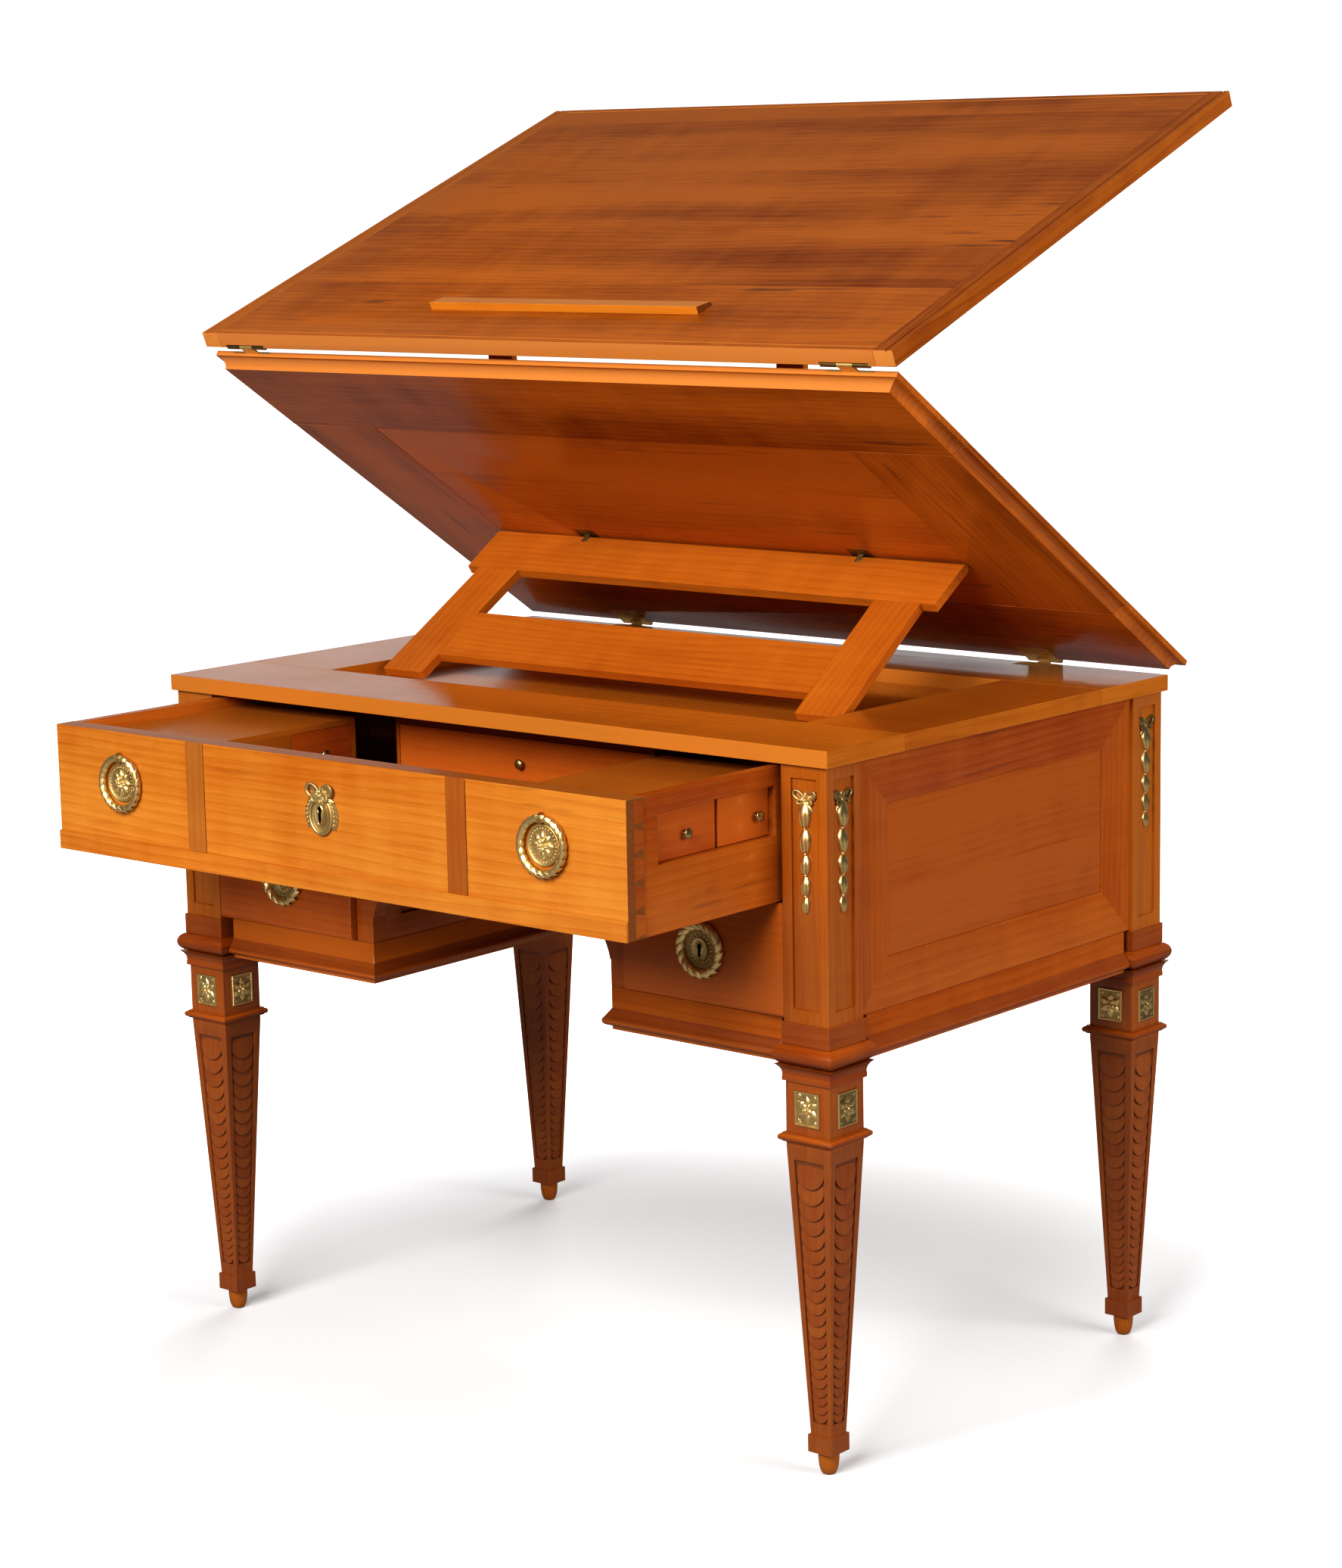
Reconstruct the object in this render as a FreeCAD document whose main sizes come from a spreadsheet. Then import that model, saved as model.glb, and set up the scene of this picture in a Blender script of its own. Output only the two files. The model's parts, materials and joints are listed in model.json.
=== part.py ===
import FreeCAD, Part
import math
import os
import re

# An architect's table: a writing table on four tapered legs, with two pedestals of drawers, a wide
# frieze drawer with small drawers inside, and a top of two leaves that rise.
# Everything is drawn shut, with the middle of the table on the floor at the origin, front to -Y.
# Each sub-part is then set in its place at rest, with the leaves raised and the drawer out.

doc = FreeCAD.newDocument("ArchitectTable")
sheet = doc.addObject("Spreadsheet::Sheet", "Sizes")

SIZES = {
    # fixed top, a frame around a shallow well
    "slab_width": 941, "slab_depth": 609, "slab_thick": 17.6, "slab_top": 750,
    "top_front_bar": 127.5, "top_back_bar": 131.5, "top_side_bar": 128.5,
    "well_depth": 15.5, "well_floor_thick": 4.5, "floor_lap": 8,
    # corner posts and tapered legs
    "post_overhang": 5.3, "post_size": 56, "flute_width": 32, "flute_sunk": 3, "block_step": 1,
    "ankle_size": 25.4, "toe_size": 30, "toe_low": 24, "toe_high": 42.5,
    "tip_radius": 11, "tip_waist": 10, "tip_floor": 5.5, "tip_bulge": 9,
    "shaft_panel_low": 56, "shaft_panel_top": 14, "shaft_panel_sunk": 2,
    "shaft_border_low": 4.4, "shaft_border_high": 8.3,
    # mouldings around each leg
    "band_step": 4, "torus_radius": 10.5, "torus_step": 19, "cove_step": 16, "cove_radius": 12,
    "cove_out": 14, "cove_drop": 3, "fillet_step": 4.6, "collar_step": 6, "collar_bead": 3.5,
    # gilt mounts on the legs
    "rosette_width": 31, "rosette_height": 36, "rosette_thick": 2.2,
    "rosette_boss": 11, "rosette_boss_top": 5, "rosette_boss_rise": 2.2,
    "drop_rod": 1.6, "husk_count": 5, "husk_tip": 1.2, "drop_bow": 14,
    "husk_radius": 6.2, "husk_shrink": 0.55, "bow_reach": 14, "bow_radius": 5, "bow_tie": 2.4,
    # panelled sides, back and kneehole
    "side_recess": 4, "side_thick": 16, "side_bar": 51, "side_slope": 3, "panel_recess": 8,
    "panel_thick": 8, "pedestal_set": 14.5, "pedestal_wide": 287.7, "kneehole_thick": 16,
    "kneehole_bar": 25, "kneehole_sunk": 5, "back_thick": 18, "back_bar": 30, "back_sunk": 4,
    "back_slope": 3,
    # pedestal base
    "bead_radius": 5, "bead_stand": 3, "base_wall": 20, "capital_gap": 0.6, "bottom_thick": 10,
    # front frame with the arched apron
    "front_thick": 20, "stile_width": 24.5, "arch_radius": 65, "arch_tip": 12,
    # bed, guides and runners
    "bed_thick": 10.4, "slide_gap": 0.6, "side_gap": 1.1, "runner_wide": 18,
    # wide frieze drawer, which rests part way out
    "drawer_out": 230, "drawer_gap": 3.2, "drawer_set": 7.5, "drawer_board": 25, "drawer_inset": 1.5,
    "drawer_wall": 12, "drawer_length": 470, "kick_proud": 3, "strip_in": 219, "strip_width": 26,
    "strip_proud": 1.6, "tail_count": 5, "tail_long": 13, "tail_root": 9, "tail_end": 13,
    "tray_thick": 6,
    # small drawers inside it
    "pod_wide": 183, "pod_end_set": 6, "pod_board": 5, "pod_wall": 7, "pod_gap": 1,
    "window_set": 22, "window_first": 96, "window_second": 81, "split_thick": 3,
    "box_deep": 78, "box_recess": 8, "box_face": 6, "box_wall": 4, "box_floor": 3, "box_gap": 0.5,
    "inner_set": 148, "inner_long": 90, "rear_gap": 41, "rear_set": 28, "rear_clear": 34,
    "knob_stand": 8, "knob_radius": 5, "knob_stem": 1.9, "knob_set": 61,
    # pulls and lock plates
    "pull_in": 104, "ring_radius": 27, "ring_tube": 3.6, "ring_stand": 4.2,
    "pull_plate": 21, "pull_plate_thick": 3, "pull_boss": 12, "pull_boss_rise": 5, "plate_bevel": 2,
    "eye_width": 5, "eye_reach": 10.5, "eye_gap": 0.5, "eye_wall": 3,
    "lock_radius": 17, "lock_thick": 3, "lock_bow_reach": 27,
    "key_radius": 2.6, "key_slot": 3, "key_drop": 9, "key_up": 3,
    # pedestal drawers
    "lower_set": 5.5, "lower_board": 22, "lower_gap": 0.6, "lower_box_side": 6, "lower_box_long": 470,
    "lower_wall": 10, "lower_round": 6, "wreath_radius": 24, "wreath_tube": 3.6, "wreath_sunk": 0.6,
    # lower leaf
    "leaf_gap": 0.5, "leaf_over": 12.25, "leaf_front_over": 7.7, "leaf_back_over": 11.7,
    "leaf_thick": 17.3, "leaf_cove": 11.2, "leaf_bar": 131, "leaf_front_bar": 127, "leaf_panel_up": 0.5,
    "leaf_panel_thick": 6.7, "lower_angle": 33.36,
    # upper leaf and its book rest
    "upper_over": 5.9, "upper_front_over": 13.3, "upper_back_over": 16.3, "upper_thick": 17.7,
    "upper_clamp": 24, "bead_in": 7, "bead_wide": 1.6, "bead_deep": 1.2, "upper_angle": 55.31,
    "rest_half": 190.5, "rest_set": 73, "rest_thick": 23, "rest_tall": 14, "rest_fall": 4.3,
    "rest_rise": 8.5, "rest_gap": 0.4,
    # hinges
    "plate_thick": 2, "plate_deep": 25, "knuckle_radius": 2.9, "pin_radius": 1.4, "pin_gap": 0.05,
    "hinge_gap": 0.4, "knuckle_gap": 0.6, "hinge_relief": 1,
    "back_hinge_in": 179.75, "back_hinge_long": 44, "back_pivot_out": 8.7, "back_pivot_up": 2.95,
    "fold_hinge_in": 57.75, "fold_hinge_long": 60, "fold_pivot_out": 10, "fold_pivot_up": 0.25,
    # strut of the lower leaf
    "strut_thick": 11, "strut_set": 230.5, "strut_pivot_down": 6.5, "strut_clear": 1.5,
    "strut_gap": 2, "strut_rail": 64.5, "strut_leg": 61, "strut_foot_gap": 10,
    "strut_splay": 11, "cross_low": 32, "cross_high": 107, "foot_clear": 0.3,
    "bracket_x": 200, "ear_width": 7, "ear_gap": 0.5, "ear_trim": 0.4, "bracket_pin": 40,
    "bracket_plate": 30,
    # stay of the upper leaf
    "stay_thick": 8.4, "stay_arm": 200, "stay_extra": 1.5, "stay_pivot_down": 5.7,
    "stay_half": 226, "stay_rail": 40, "stay_leg": 36, "stay_cross": 35, "stay_cross_up": 24,
    "stay_bracket_x": 150,
}

# How far each level lies below the top of the fixed top.
LEVELS = {
    "flute_high": 31, "flute_low": 263, "post_low": 334, "shaft_high": 404,
    "capital_high": 277, "band_low": 299, "cove_low": 333.5, "capital_low": 337,
    "collar_high": 390.5, "collar_low": 399.5, "rosette_middle": 363.5, "drop_high": 42, "drop_low": 166,
    "base_high": 276, "base_mid": 299, "base_bead": 312, "base_low": 322, "arch_top": 195,
    "bed_top": 157.6, "guide_high": 138, "drawer_high": 21, "kick_high": 136.5,
    "tray_low": 154, "tray_back_high": 34, "pod_top": 33.5, "window_low": 90.5, "window_high": 40.3,
    "knob_high": 68, "pull_high": 75, "lock_high": 82, "lock_bow_high": 53,
    "lower_high": 158.6, "lower_box_low": 272, "lower_box_high": 178, "wreath_high": 218,
}
SIZES.update({f"{name}_down": depth for name, depth in LEVELS.items()})

# Sizes that follow from the sheet's own, each a formula of other names.
TIES = {name: f"(slab_top - {name}_down)" for name in LEVELS}
TIES.update({
    "block_size": "(post_size - block_step)",
    "band_size": "(post_size + band_step)",
    "torus_size": "(post_size + torus_step)",
    "cove_size": "(post_size + cove_step)",
    "cove_centre": "(post_size/2 + cove_out)",
    "fillet_size": "(post_size + fillet_step)",
    "collar_size": "(block_size + collar_step)",
    "shaft_panel_high": "(shaft_high - shaft_panel_top)",
    "pedestal_front": "(slab_depth/2 - pedestal_set)",
    "kneehole_half": "(slab_width/2 - post_overhang - side_recess - pedestal_wide)",
    "drawer_half": "(slab_width/2 - post_overhang - post_size - drawer_gap)",
    "drawer_face": "(slab_depth/2 - drawer_set)",
    "strip_x": "(drawer_half - strip_in)",
    "pull_x": "(drawer_half - pull_in)",
    "pod_inner": "(drawer_half - pod_wide)",
    "window_front": "(drawer_face - drawer_board - window_set)",
    "window_split": "(window_front - window_first)",
    "window_back": "(window_split - window_second)",
    "inner_front": "(drawer_face - drawer_board - inner_set)",
    "inner_back": "(inner_front - inner_long)",
    "pod_end": "(inner_back - pod_end_set)",
    "rear_half": "(pod_inner - rear_gap)",
    "rear_face": "(pod_end - rear_set)",
    "rear_deep": "(drawer_length - drawer_face - drawer_wall - rear_clear - pod_wall + rear_face)",
    "knob_near_end": "(window_split - knob_set)",
    "lower_face": "(slab_depth/2 - lower_set)",
    "leaf_width": "(slab_width + 2*leaf_over)",
    "leaf_front": "(slab_depth/2 + leaf_front_over)",
    "leaf_back": "(slab_depth/2 + leaf_back_over)",
    "upper_width": "(leaf_width + 2*upper_over)",
    "upper_front": "(leaf_front + upper_front_over)",
    "upper_depth": "(upper_front + leaf_back + upper_back_over)",
    "back_hinge_x": "(leaf_width/2 - back_hinge_in)",
    "fold_hinge_x": "(leaf_width/2 - fold_hinge_in)",
    "strut_pivot_y": "(slab_depth/2 - strut_set)",
    "strut_long": "(strut_pivot_y + slab_depth/2 - top_front_bar - strut_clear)",
    "strut_half": "(slab_width/2 - top_side_bar - strut_gap)",
    "strut_foot_x": "(slab_width/2 - top_side_bar - strut_foot_gap)",
    "stay_long": "(stay_arm + stay_extra)",
})
for row, (alias, value) in enumerate(SIZES.items(), start=1):
    sheet.set(f"A{row}", alias.replace("_", " "))
    sheet.set(f"B{row}", str(value))
    sheet.setAlias(f"B{row}", alias)
doc.recompute()

# Places that several sub-parts share, as formulas of the sheet's names.
LEG_X = "(slab_width/2 - post_overhang - post_size/2)"
LEG_Y = "(slab_depth/2 - post_overhang - post_size/2)"
FACE_X = "(slab_width/2 - post_overhang)"
FACE_Y = "(slab_depth/2 - post_overhang)"
INNER_X = "(slab_width/2 - post_overhang - post_size)"
INNER_Y = "(slab_depth/2 - post_overhang - post_size)"
UNDER = "(slab_top - slab_thick)"
WELL_X = "(slab_width/2 - top_side_bar)"
WELL_FRONT = "(-slab_depth/2 + top_front_bar)"
WELL_BACK = "(slab_depth/2 - top_back_bar)"
WELL_FLOOR = "(slab_top - well_depth)"
SIDE_X = f"({FACE_X} - side_recess)"
BACK_Y = "pedestal_front"
LEAF_LOW = "(slab_top + leaf_gap)"
LEAF_TOP = "(slab_top + leaf_gap + leaf_thick)"
LEAF_X = "(leaf_width/2)"
LEAF_OPEN_X = "(leaf_width/2 - leaf_cove - leaf_bar)"
LEAF_OPEN_FRONT = "(-leaf_front + leaf_cove + leaf_front_bar)"
LEAF_OPEN_BACK = "(leaf_back - leaf_cove - leaf_bar)"
PANEL_LOW = f"({LEAF_LOW} + leaf_panel_up)"
LEAF_FLOOR = f"({PANEL_LOW} + leaf_panel_thick)"
UPPER_LOW = "(slab_top + 2*leaf_gap + leaf_thick)"
UPPER_TOP = f"({UPPER_LOW} + upper_thick)"
UPPER_X = "(upper_width/2)"
UPPER_BACK = "(upper_depth - upper_front)"
BACK_PIVOT = ("(slab_depth/2 + back_pivot_out)", "(slab_top + back_pivot_up)")
FOLD_PIVOT = ("(-leaf_front - fold_pivot_out)", f"({LEAF_TOP} + fold_pivot_up)")
STRUT_PIVOT = ("strut_pivot_y", f"({LEAF_LOW} - strut_pivot_down)")
STAY_PIVOT = (f"({FOLD_PIVOT[0]} + stay_arm)", f"({UPPER_LOW} - stay_pivot_down)")

WORD = re.compile(r"[A-Za-z_]+")
TURNS = {
    "x": FreeCAD.Rotation(FreeCAD.Vector(0, 1, 0), 90),
    "-x": FreeCAD.Rotation(FreeCAD.Vector(0, 1, 0), -90),
    "y": FreeCAD.Rotation(FreeCAD.Vector(1, 0, 0), -90),
    "-y": FreeCAD.Rotation(FreeCAD.Vector(1, 0, 0), 90),
    "z": FreeCAD.Rotation(),
    "-z": FreeCAD.Rotation(FreeCAD.Vector(1, 0, 0), 180),
}


def formula(text):
    """Writes out the names that follow from others, and turns the sheet's names into references to it."""

    def refer(hit):
        name = hit.group(0)
        if name in TIES:
            return formula(TIES[name])
        return "Sizes." + name if name in SIZES else name

    return WORD.sub(refer, str(text))


def bind(thing, **sizes):
    for name, text in sizes.items():
        thing.setExpression(name, formula(text))
    return thing


def settle(thing, at):
    for letter, text in zip("xyz", at):
        thing.setExpression("Placement.Base." + letter, formula(text))
    return thing


def block(xs, ys, zs):
    """A board between two x, two y and two z planes."""
    thing = doc.addObject("Part::Box", "Block")
    bind(thing, Length=f"{xs[1]} - ({xs[0]})", Width=f"{ys[1]} - ({ys[0]})", Height=f"{zs[1]} - ({zs[0]})")
    return settle(thing, (xs[0], ys[0], zs[0]))


def around(middle, width):
    return (f"{middle} - ({width})/2", f"{middle} + ({width})/2")


def rod(axis, radius, at, length):
    """A round bar from a point along an axis."""
    thing = doc.addObject("Part::Cylinder", "Rod")
    thing.Placement = FreeCAD.Placement(FreeCAD.Vector(), TURNS[axis])
    bind(thing, Radius=radius, Height=length)
    return settle(thing, at)


def cone(axis, start, end, at, length):
    """A turned taper from a point along an axis."""
    thing = doc.addObject("Part::Cone", "Cone")
    thing.Placement = FreeCAD.Placement(FreeCAD.Vector(), TURNS[axis])
    bind(thing, Radius1=start, Radius2=end, Height=length)
    return settle(thing, at)


def taper(axis, ends, first, last, at=("0", "0", "0"), turn=0):
    """A four-sided taper: each end is two ranges across it, in the order of the other two axes."""
    thing = doc.addObject("Part::Wedge", "Taper")
    (low_a, low_b), (high_a, high_b) = first, last
    if axis == "z":
        facing = FreeCAD.Rotation(FreeCAD.Vector(0, 0, 1), 90 * turn) * TURNS["-y"]
        low_b, high_b = flipped(low_b), flipped(high_b)
    elif axis == "x":
        facing = FreeCAD.Rotation(FreeCAD.Vector(0, 0, 1), -90)
        low_a, high_a = flipped(low_a), flipped(high_a)
    else:
        facing = FreeCAD.Rotation()
    thing.Placement = FreeCAD.Placement(FreeCAD.Vector(), facing)
    bind(thing, Ymin=ends[0], Ymax=ends[1], Xmin=low_a[0], Xmax=low_a[1], Zmin=low_b[0], Zmax=low_b[1])
    bind(thing, X2min=high_a[0], X2max=high_a[1], Z2min=high_b[0], Z2max=high_b[1])
    return settle(thing, at)


def flipped(span):
    return (f"-({span[1]})", f"-({span[0]})")


def both(half):
    return (f"-({half})", half)


def fuse(*things):
    if len(things) == 1:
        return things[0]
    joined = doc.addObject("Part::MultiFuse", "Joined")
    joined.Shapes = list(things)
    joined.Refine = True
    return joined


def cut(thing, *tools):
    left = doc.addObject("Part::Cut", "Cut")
    left.Base = thing
    left.Tool = fuse(*tools)
    left.Refine = True
    return left


def common(one, other):
    shared = doc.addObject("Part::MultiCommon", "Shared")
    shared.Shapes = [one, other]
    shared.Refine = True
    return shared


def mirrored(thing, letter):
    """The same sub-part on the other side of the table."""
    twin = doc.addObject("Part::Mirroring", "Twin")
    twin.Source = thing
    twin.Normal = FreeCAD.Vector(1, 0, 0) if letter == "x" else FreeCAD.Vector(0, 1, 0)
    return twin


def pair(thing):
    return [thing, mirrored(thing, "x")]


def four(thing):
    right = [thing, mirrored(thing, "y")]
    return right + [mirrored(each, "x") for each in right]


def number(text):
    """The value of a formula now, for the places of the moving sub-parts."""
    probe = doc.addObject("Part::Box", "Probe")
    settle(probe, (text, "0", "0"))
    probe.recompute()
    value = probe.Placement.Base.x
    doc.removeObject(probe.Name)
    return value


def turned(pivot, degrees):
    """A turn about the line along X through a pivot given by its y and z formulas."""
    about = FreeCAD.Rotation(FreeCAD.Vector(1, 0, 0), degrees)
    return FreeCAD.Placement(FreeCAD.Vector(), about, point(pivot))


def point(place):
    return FreeCAD.Vector(0, number(place[0]), number(place[1]))


def strut_angle(lower):
    """How far the strut turns about its pins until its feet stand just clear of the well's floor."""
    drop = lower.multVec(point(STRUT_PIVOT)).z - number(WELL_FLOOR) - number("foot_clear")
    length, half = number("strut_long"), number("strut_thick/2")
    lean = math.asin(drop / math.hypot(length, half)) - math.atan2(half, length)
    return number("lower_angle") + math.degrees(lean)


def rest_places():
    """Where each moving body stands at rest, and the table's middle between its farthest points.

    The stay is nearly as long as its arm on the upper leaf, so it turns twice as far as that leaf.
    """
    lower = turned(BACK_PIVOT, -number("lower_angle"))
    upper = lower * turned(FOLD_PIVOT, number("upper_angle"))
    places = {
        "carcass": FreeCAD.Placement(),
        "lower_leaf": lower,
        "strut": lower * turned(STRUT_PIVOT, strut_angle(lower)),
        "upper_leaf": upper,
        "stay": upper * turned(STAY_PIVOT, -2 * number("upper_angle")),
        "drawer": FreeCAD.Placement(FreeCAD.Vector(0, -number("drawer_out"), 0), FreeCAD.Rotation()),
    }
    foremost = -number("drawer_face") - number("drawer_out") - number("eye_reach")
    hindmost = upper.multVec(FreeCAD.Vector(0, number(UPPER_BACK), number(UPPER_LOW))).y
    middle = FreeCAD.Placement(FreeCAD.Vector(0, -(foremost + hindmost) / 2, 0), FreeCAD.Rotation())
    return {name: middle * place for name, place in places.items()}


PLACES = rest_places()
nodes = []


def node(label, body, *solids):
    """One named sub-part, set where its body stands at rest."""
    group = doc.addObject("Part::Compound", label)
    group.Label = label
    group.Links = list(solids)
    group.Placement = PLACES[body]
    nodes.append(group)


def shaft_half(level):
    """Half the width of the tapering shaft at a height."""
    return f"(ankle_size/2 + (block_size - ankle_size)/2*({level} - toe_high)/(shaft_high - toe_high))"


def leg():
    """Post, block, tapering shaft with sunk panels, and toe, as one turned and planed piece."""
    here = (LEG_X, f"-{LEG_Y}")
    post = block(around(here[0], "post_size"), around(here[1], "post_size"), ("post_low", UNDER))
    neck = block(around(here[0], "block_size"), around(here[1], "block_size"), ("shaft_high", "post_low"))
    toe = block(around(here[0], "toe_size"), around(here[1], "toe_size"), ("toe_low", "toe_high"))
    thin = both("ankle_size/2")
    wide = both("block_size/2")
    shaft = taper("z", ("toe_high", "shaft_high"), (thin, thin), (wide, wide), (*here, "0"))
    tools = [shaft_panel(here, turn) for turn in range(4)]
    high = ("flute_low", "flute_high")
    front_face = (f"-{FACE_Y} - 1", f"-{FACE_Y} + flute_sunk")
    side_face = (f"{FACE_X} - flute_sunk", f"{FACE_X} + 1")
    tools.append(block(around(here[0], "flute_width"), front_face, high))
    tools.append(block(side_face, around(here[1], "flute_width"), high))
    return cut(fuse(post, neck, toe, shaft), *tools)


def shaft_panel(here, turn):
    """The room cut out of one sloping face, narrower than the face by its border."""
    low, high = shaft_half("shaft_panel_low"), shaft_half("shaft_panel_high")
    first = (both(f"({low} - shaft_border_low)"), (f"-{low} - 2", f"-{low} + shaft_panel_sunk"))
    last = (both(f"({high} - shaft_border_high)"), (f"-{high} - 2", f"-{high} + shaft_panel_sunk"))
    return taper("z", ("shaft_panel_low", "shaft_panel_high"), first, last, (*here, "0"), turn)


def foot_tip():
    here = (LEG_X, f"-{LEG_Y}")
    point = cone("z", "tip_floor", "tip_waist", (*here, "0"), "tip_bulge")
    return fuse(point, cone("z", "tip_waist", "tip_radius", (*here, "tip_bulge"), "toe_low - tip_bulge"))


def moulding_bar(run, half, low, high, reach):
    """A straight board of a moulding that runs along x or y through the leg's middle."""
    here = (LEG_X, f"-{LEG_Y}")
    spans = [around(here[0], f"2*{reach}"), around(here[1], f"2*{half}")]
    if run == "y":
        spans = [around(here[0], f"2*{half}"), around(here[1], f"2*{reach}")]
    return block(*spans, (low, high))


def moulding_rods(run, radius, half, level, reach):
    """Two round bars of a moulding, one on each side of the leg."""
    x, y = LEG_X, f"-{LEG_Y}"
    if run == "x":
        starts = [(f"{x} - {reach}", f"{y} + {sign}{half}", level) for sign in ("-", "")]
    else:
        starts = [(f"{x} + {sign}{half}", f"{y} - {reach}", level) for sign in ("-", "")]
    return [rod(run, radius, start, f"2*{reach}") for start in starts]


def capital_run(run):
    """Band, torus, cove and fillet as they run along one pair of the leg's sides."""
    reach = "(torus_size/2 + 1)"
    core = "(torus_size/2 - torus_radius)"
    band = moulding_bar(run, "band_size/2", "band_low", "capital_high", reach)
    torus_low = "(band_low - 2*torus_radius)"
    torus = moulding_bar(run, core, torus_low, "band_low", reach)
    round_edges = moulding_rods(run, "torus_radius", core, "(band_low - torus_radius)", reach)
    cove = moulding_bar(run, "cove_size/2", "cove_low", torus_low, reach)
    hollows = moulding_rods(run, "cove_radius", "cove_centre", "(cove_low + cove_drop)", reach)
    fillet = moulding_bar(run, "fillet_size/2", "capital_low", "cove_low", reach)
    return fuse(band, torus, *round_edges, cut(cove, *hollows), fillet)


def capital():
    hole = moulding_bar("x", "post_size/2", "capital_low - 1", "capital_high + 1", "post_size/2")
    return cut(common(capital_run("x"), capital_run("y")), hole)


def collar_run(run):
    reach = "(collar_size/2 + collar_bead + 1)"
    level = "((collar_low + collar_high)/2)"
    flat = moulding_bar(run, "collar_size/2", "collar_low", "collar_high", reach)
    return fuse(flat, *moulding_rods(run, "collar_bead", "collar_size/2", level, reach))


def collar():
    hole = moulding_bar("x", "block_size/2", "collar_low - 1", "collar_high + 1", "block_size/2")
    return cut(common(collar_run("x"), collar_run("y")), hole)


def rosette(side):
    """A square gilt plate with a raised boss, on one face of the leg's block."""
    x, y = LEG_X, f"-{LEG_Y}"
    high = around("rosette_middle", "rosette_height")
    sign = side.strip("xy") or "+"
    plate_room = (f"{sign}block_size/2", f"{sign}(block_size/2 + rosette_thick)")
    near, far = plate_room if sign == "+" else plate_room[::-1]
    if side.endswith("y"):
        plate = block(around(x, "rosette_width"), (f"{y} {near}", f"{y} {far}"), high)
        start = (x, f"{y} {plate_room[1]}", "rosette_middle")
    else:
        plate = block((f"{x} {near}", f"{x} {far}"), around(y, "rosette_width"), high)
        start = (f"{x} {plate_room[1]}", y, "rosette_middle")
    return fuse(plate, cone(side, "rosette_boss", "rosette_boss_top", start, "rosette_boss_rise"))


def husk_drop(side):
    """A tied bow with a string of husks, each a little smaller than the one above it."""
    flat = f"(-{FACE_Y} + flute_sunk)" if side == "-y" else f"({FACE_X} - flute_sunk)"
    spot = LEG_X if side == "-y" else f"-{LEG_Y}"

    def at(level, across="0"):
        if side == "-y":
            return (f"{spot} + {across}", flat, level)
        return (flat, f"{spot} + {across}", level)

    pitch = "(drop_high - drop_bow - drop_low)/husk_count"
    solids = [rod("z", "drop_rod", at("drop_low"), "drop_high - drop_low - drop_bow/2")]
    for step in range(number_of("husk_count")):
        size = f"(husk_radius - {step}*husk_shrink)"
        top = f"(drop_high - drop_bow - {step}*{pitch})"
        waist = f"({top} - 0.4*{pitch})"
        solids.append(cone("z", size, "drop_rod", at(waist), f"0.38*{pitch}"))
        solids.append(cone("-z", size, "husk_tip", at(waist), f"0.52*{pitch}"))
    sideways = ("x", "-x") if side == "-y" else ("y", "-y")
    for way in sideways:
        solids.append(cone(way, "bow_tie", "bow_radius", at("drop_high - drop_bow/2"), "bow_reach"))
    wood = block_behind(side, spot, flat)
    return cut(fuse(*solids), wood)


def block_behind(side, spot, flat):
    """The wood behind a mount's flat back."""
    across, high = around(spot, "post_size"), ("drop_low - 20", "drop_high + 20")
    if side == "-y":
        return block(across, (flat, f"{flat} + 30"), high)
    return block((f"{flat} - 30", flat), across, high)


def number_of(name):
    """A count that the sheet holds, as a whole number."""
    return int(round(float(sheet.get(name))))


def side_frame():
    """A framed side between two posts whose bars slope down to the panel, mitred at the corners."""
    zs = ("base_high", UNDER)
    body = block((f"{SIDE_X} - side_thick", SIDE_X), both(INNER_Y), zs)
    open_y = both(f"({INNER_Y} - side_bar)")
    open_z = ("base_high + side_bar", f"{UNDER} - side_bar")
    slope = taper("x", (f"{SIDE_X} - side_slope", SIDE_X), (open_y, open_z), (both(INNER_Y), zs))
    return cut(body, slope, block((f"{SIDE_X} - 2*side_thick", SIDE_X), open_y, open_z))


def side_panel():
    face = f"({FACE_X} - panel_recess)"
    ys = both(f"({INNER_Y} - side_bar)")
    return block((f"{face} - panel_thick", face), ys, ("base_high + side_bar", f"{UNDER} - side_bar"))


KNEE_OUT = "(kneehole_half + kneehole_thick)"
KNEE_FRONT = "(-pedestal_front + front_thick)"
KNEE_BACK = "(pedestal_front - back_thick)"
BED_LOW = "(bed_top - bed_thick)"
KNEE_OPEN = ((f"{KNEE_FRONT} + kneehole_bar", f"{KNEE_BACK} - kneehole_bar"),
             ("base_high + kneehole_bar", f"{BED_LOW} - kneehole_bar"))


def kneehole_frame():
    body = block(("kneehole_half", KNEE_OUT), (KNEE_FRONT, KNEE_BACK), ("base_high", BED_LOW))
    return cut(body, block(("kneehole_half - 1", f"{KNEE_OUT} + 1"), *KNEE_OPEN))


def kneehole_panel():
    face = "(kneehole_half + kneehole_sunk)"
    return block((face, f"{face} + panel_thick"), *KNEE_OPEN)


def back_board(xs, zs):
    """A back with a sunk field that slopes in from its border."""
    body = block(xs, (KNEE_BACK, BACK_Y), zs)
    field = ((f"{xs[0]} + back_bar", f"{xs[1]} - back_bar"), (f"{zs[0]} + back_bar", f"{zs[1]} - back_bar"))
    edge = "(back_bar - back_slope)"
    rim = ((f"{xs[0]} + {edge}", f"{xs[1]} - {edge}"), (f"{zs[0]} + {edge}", f"{zs[1]} - {edge}"))
    return cut(body, taper("y", (f"{BACK_Y} - back_sunk", BACK_Y), field, rim))


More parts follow.
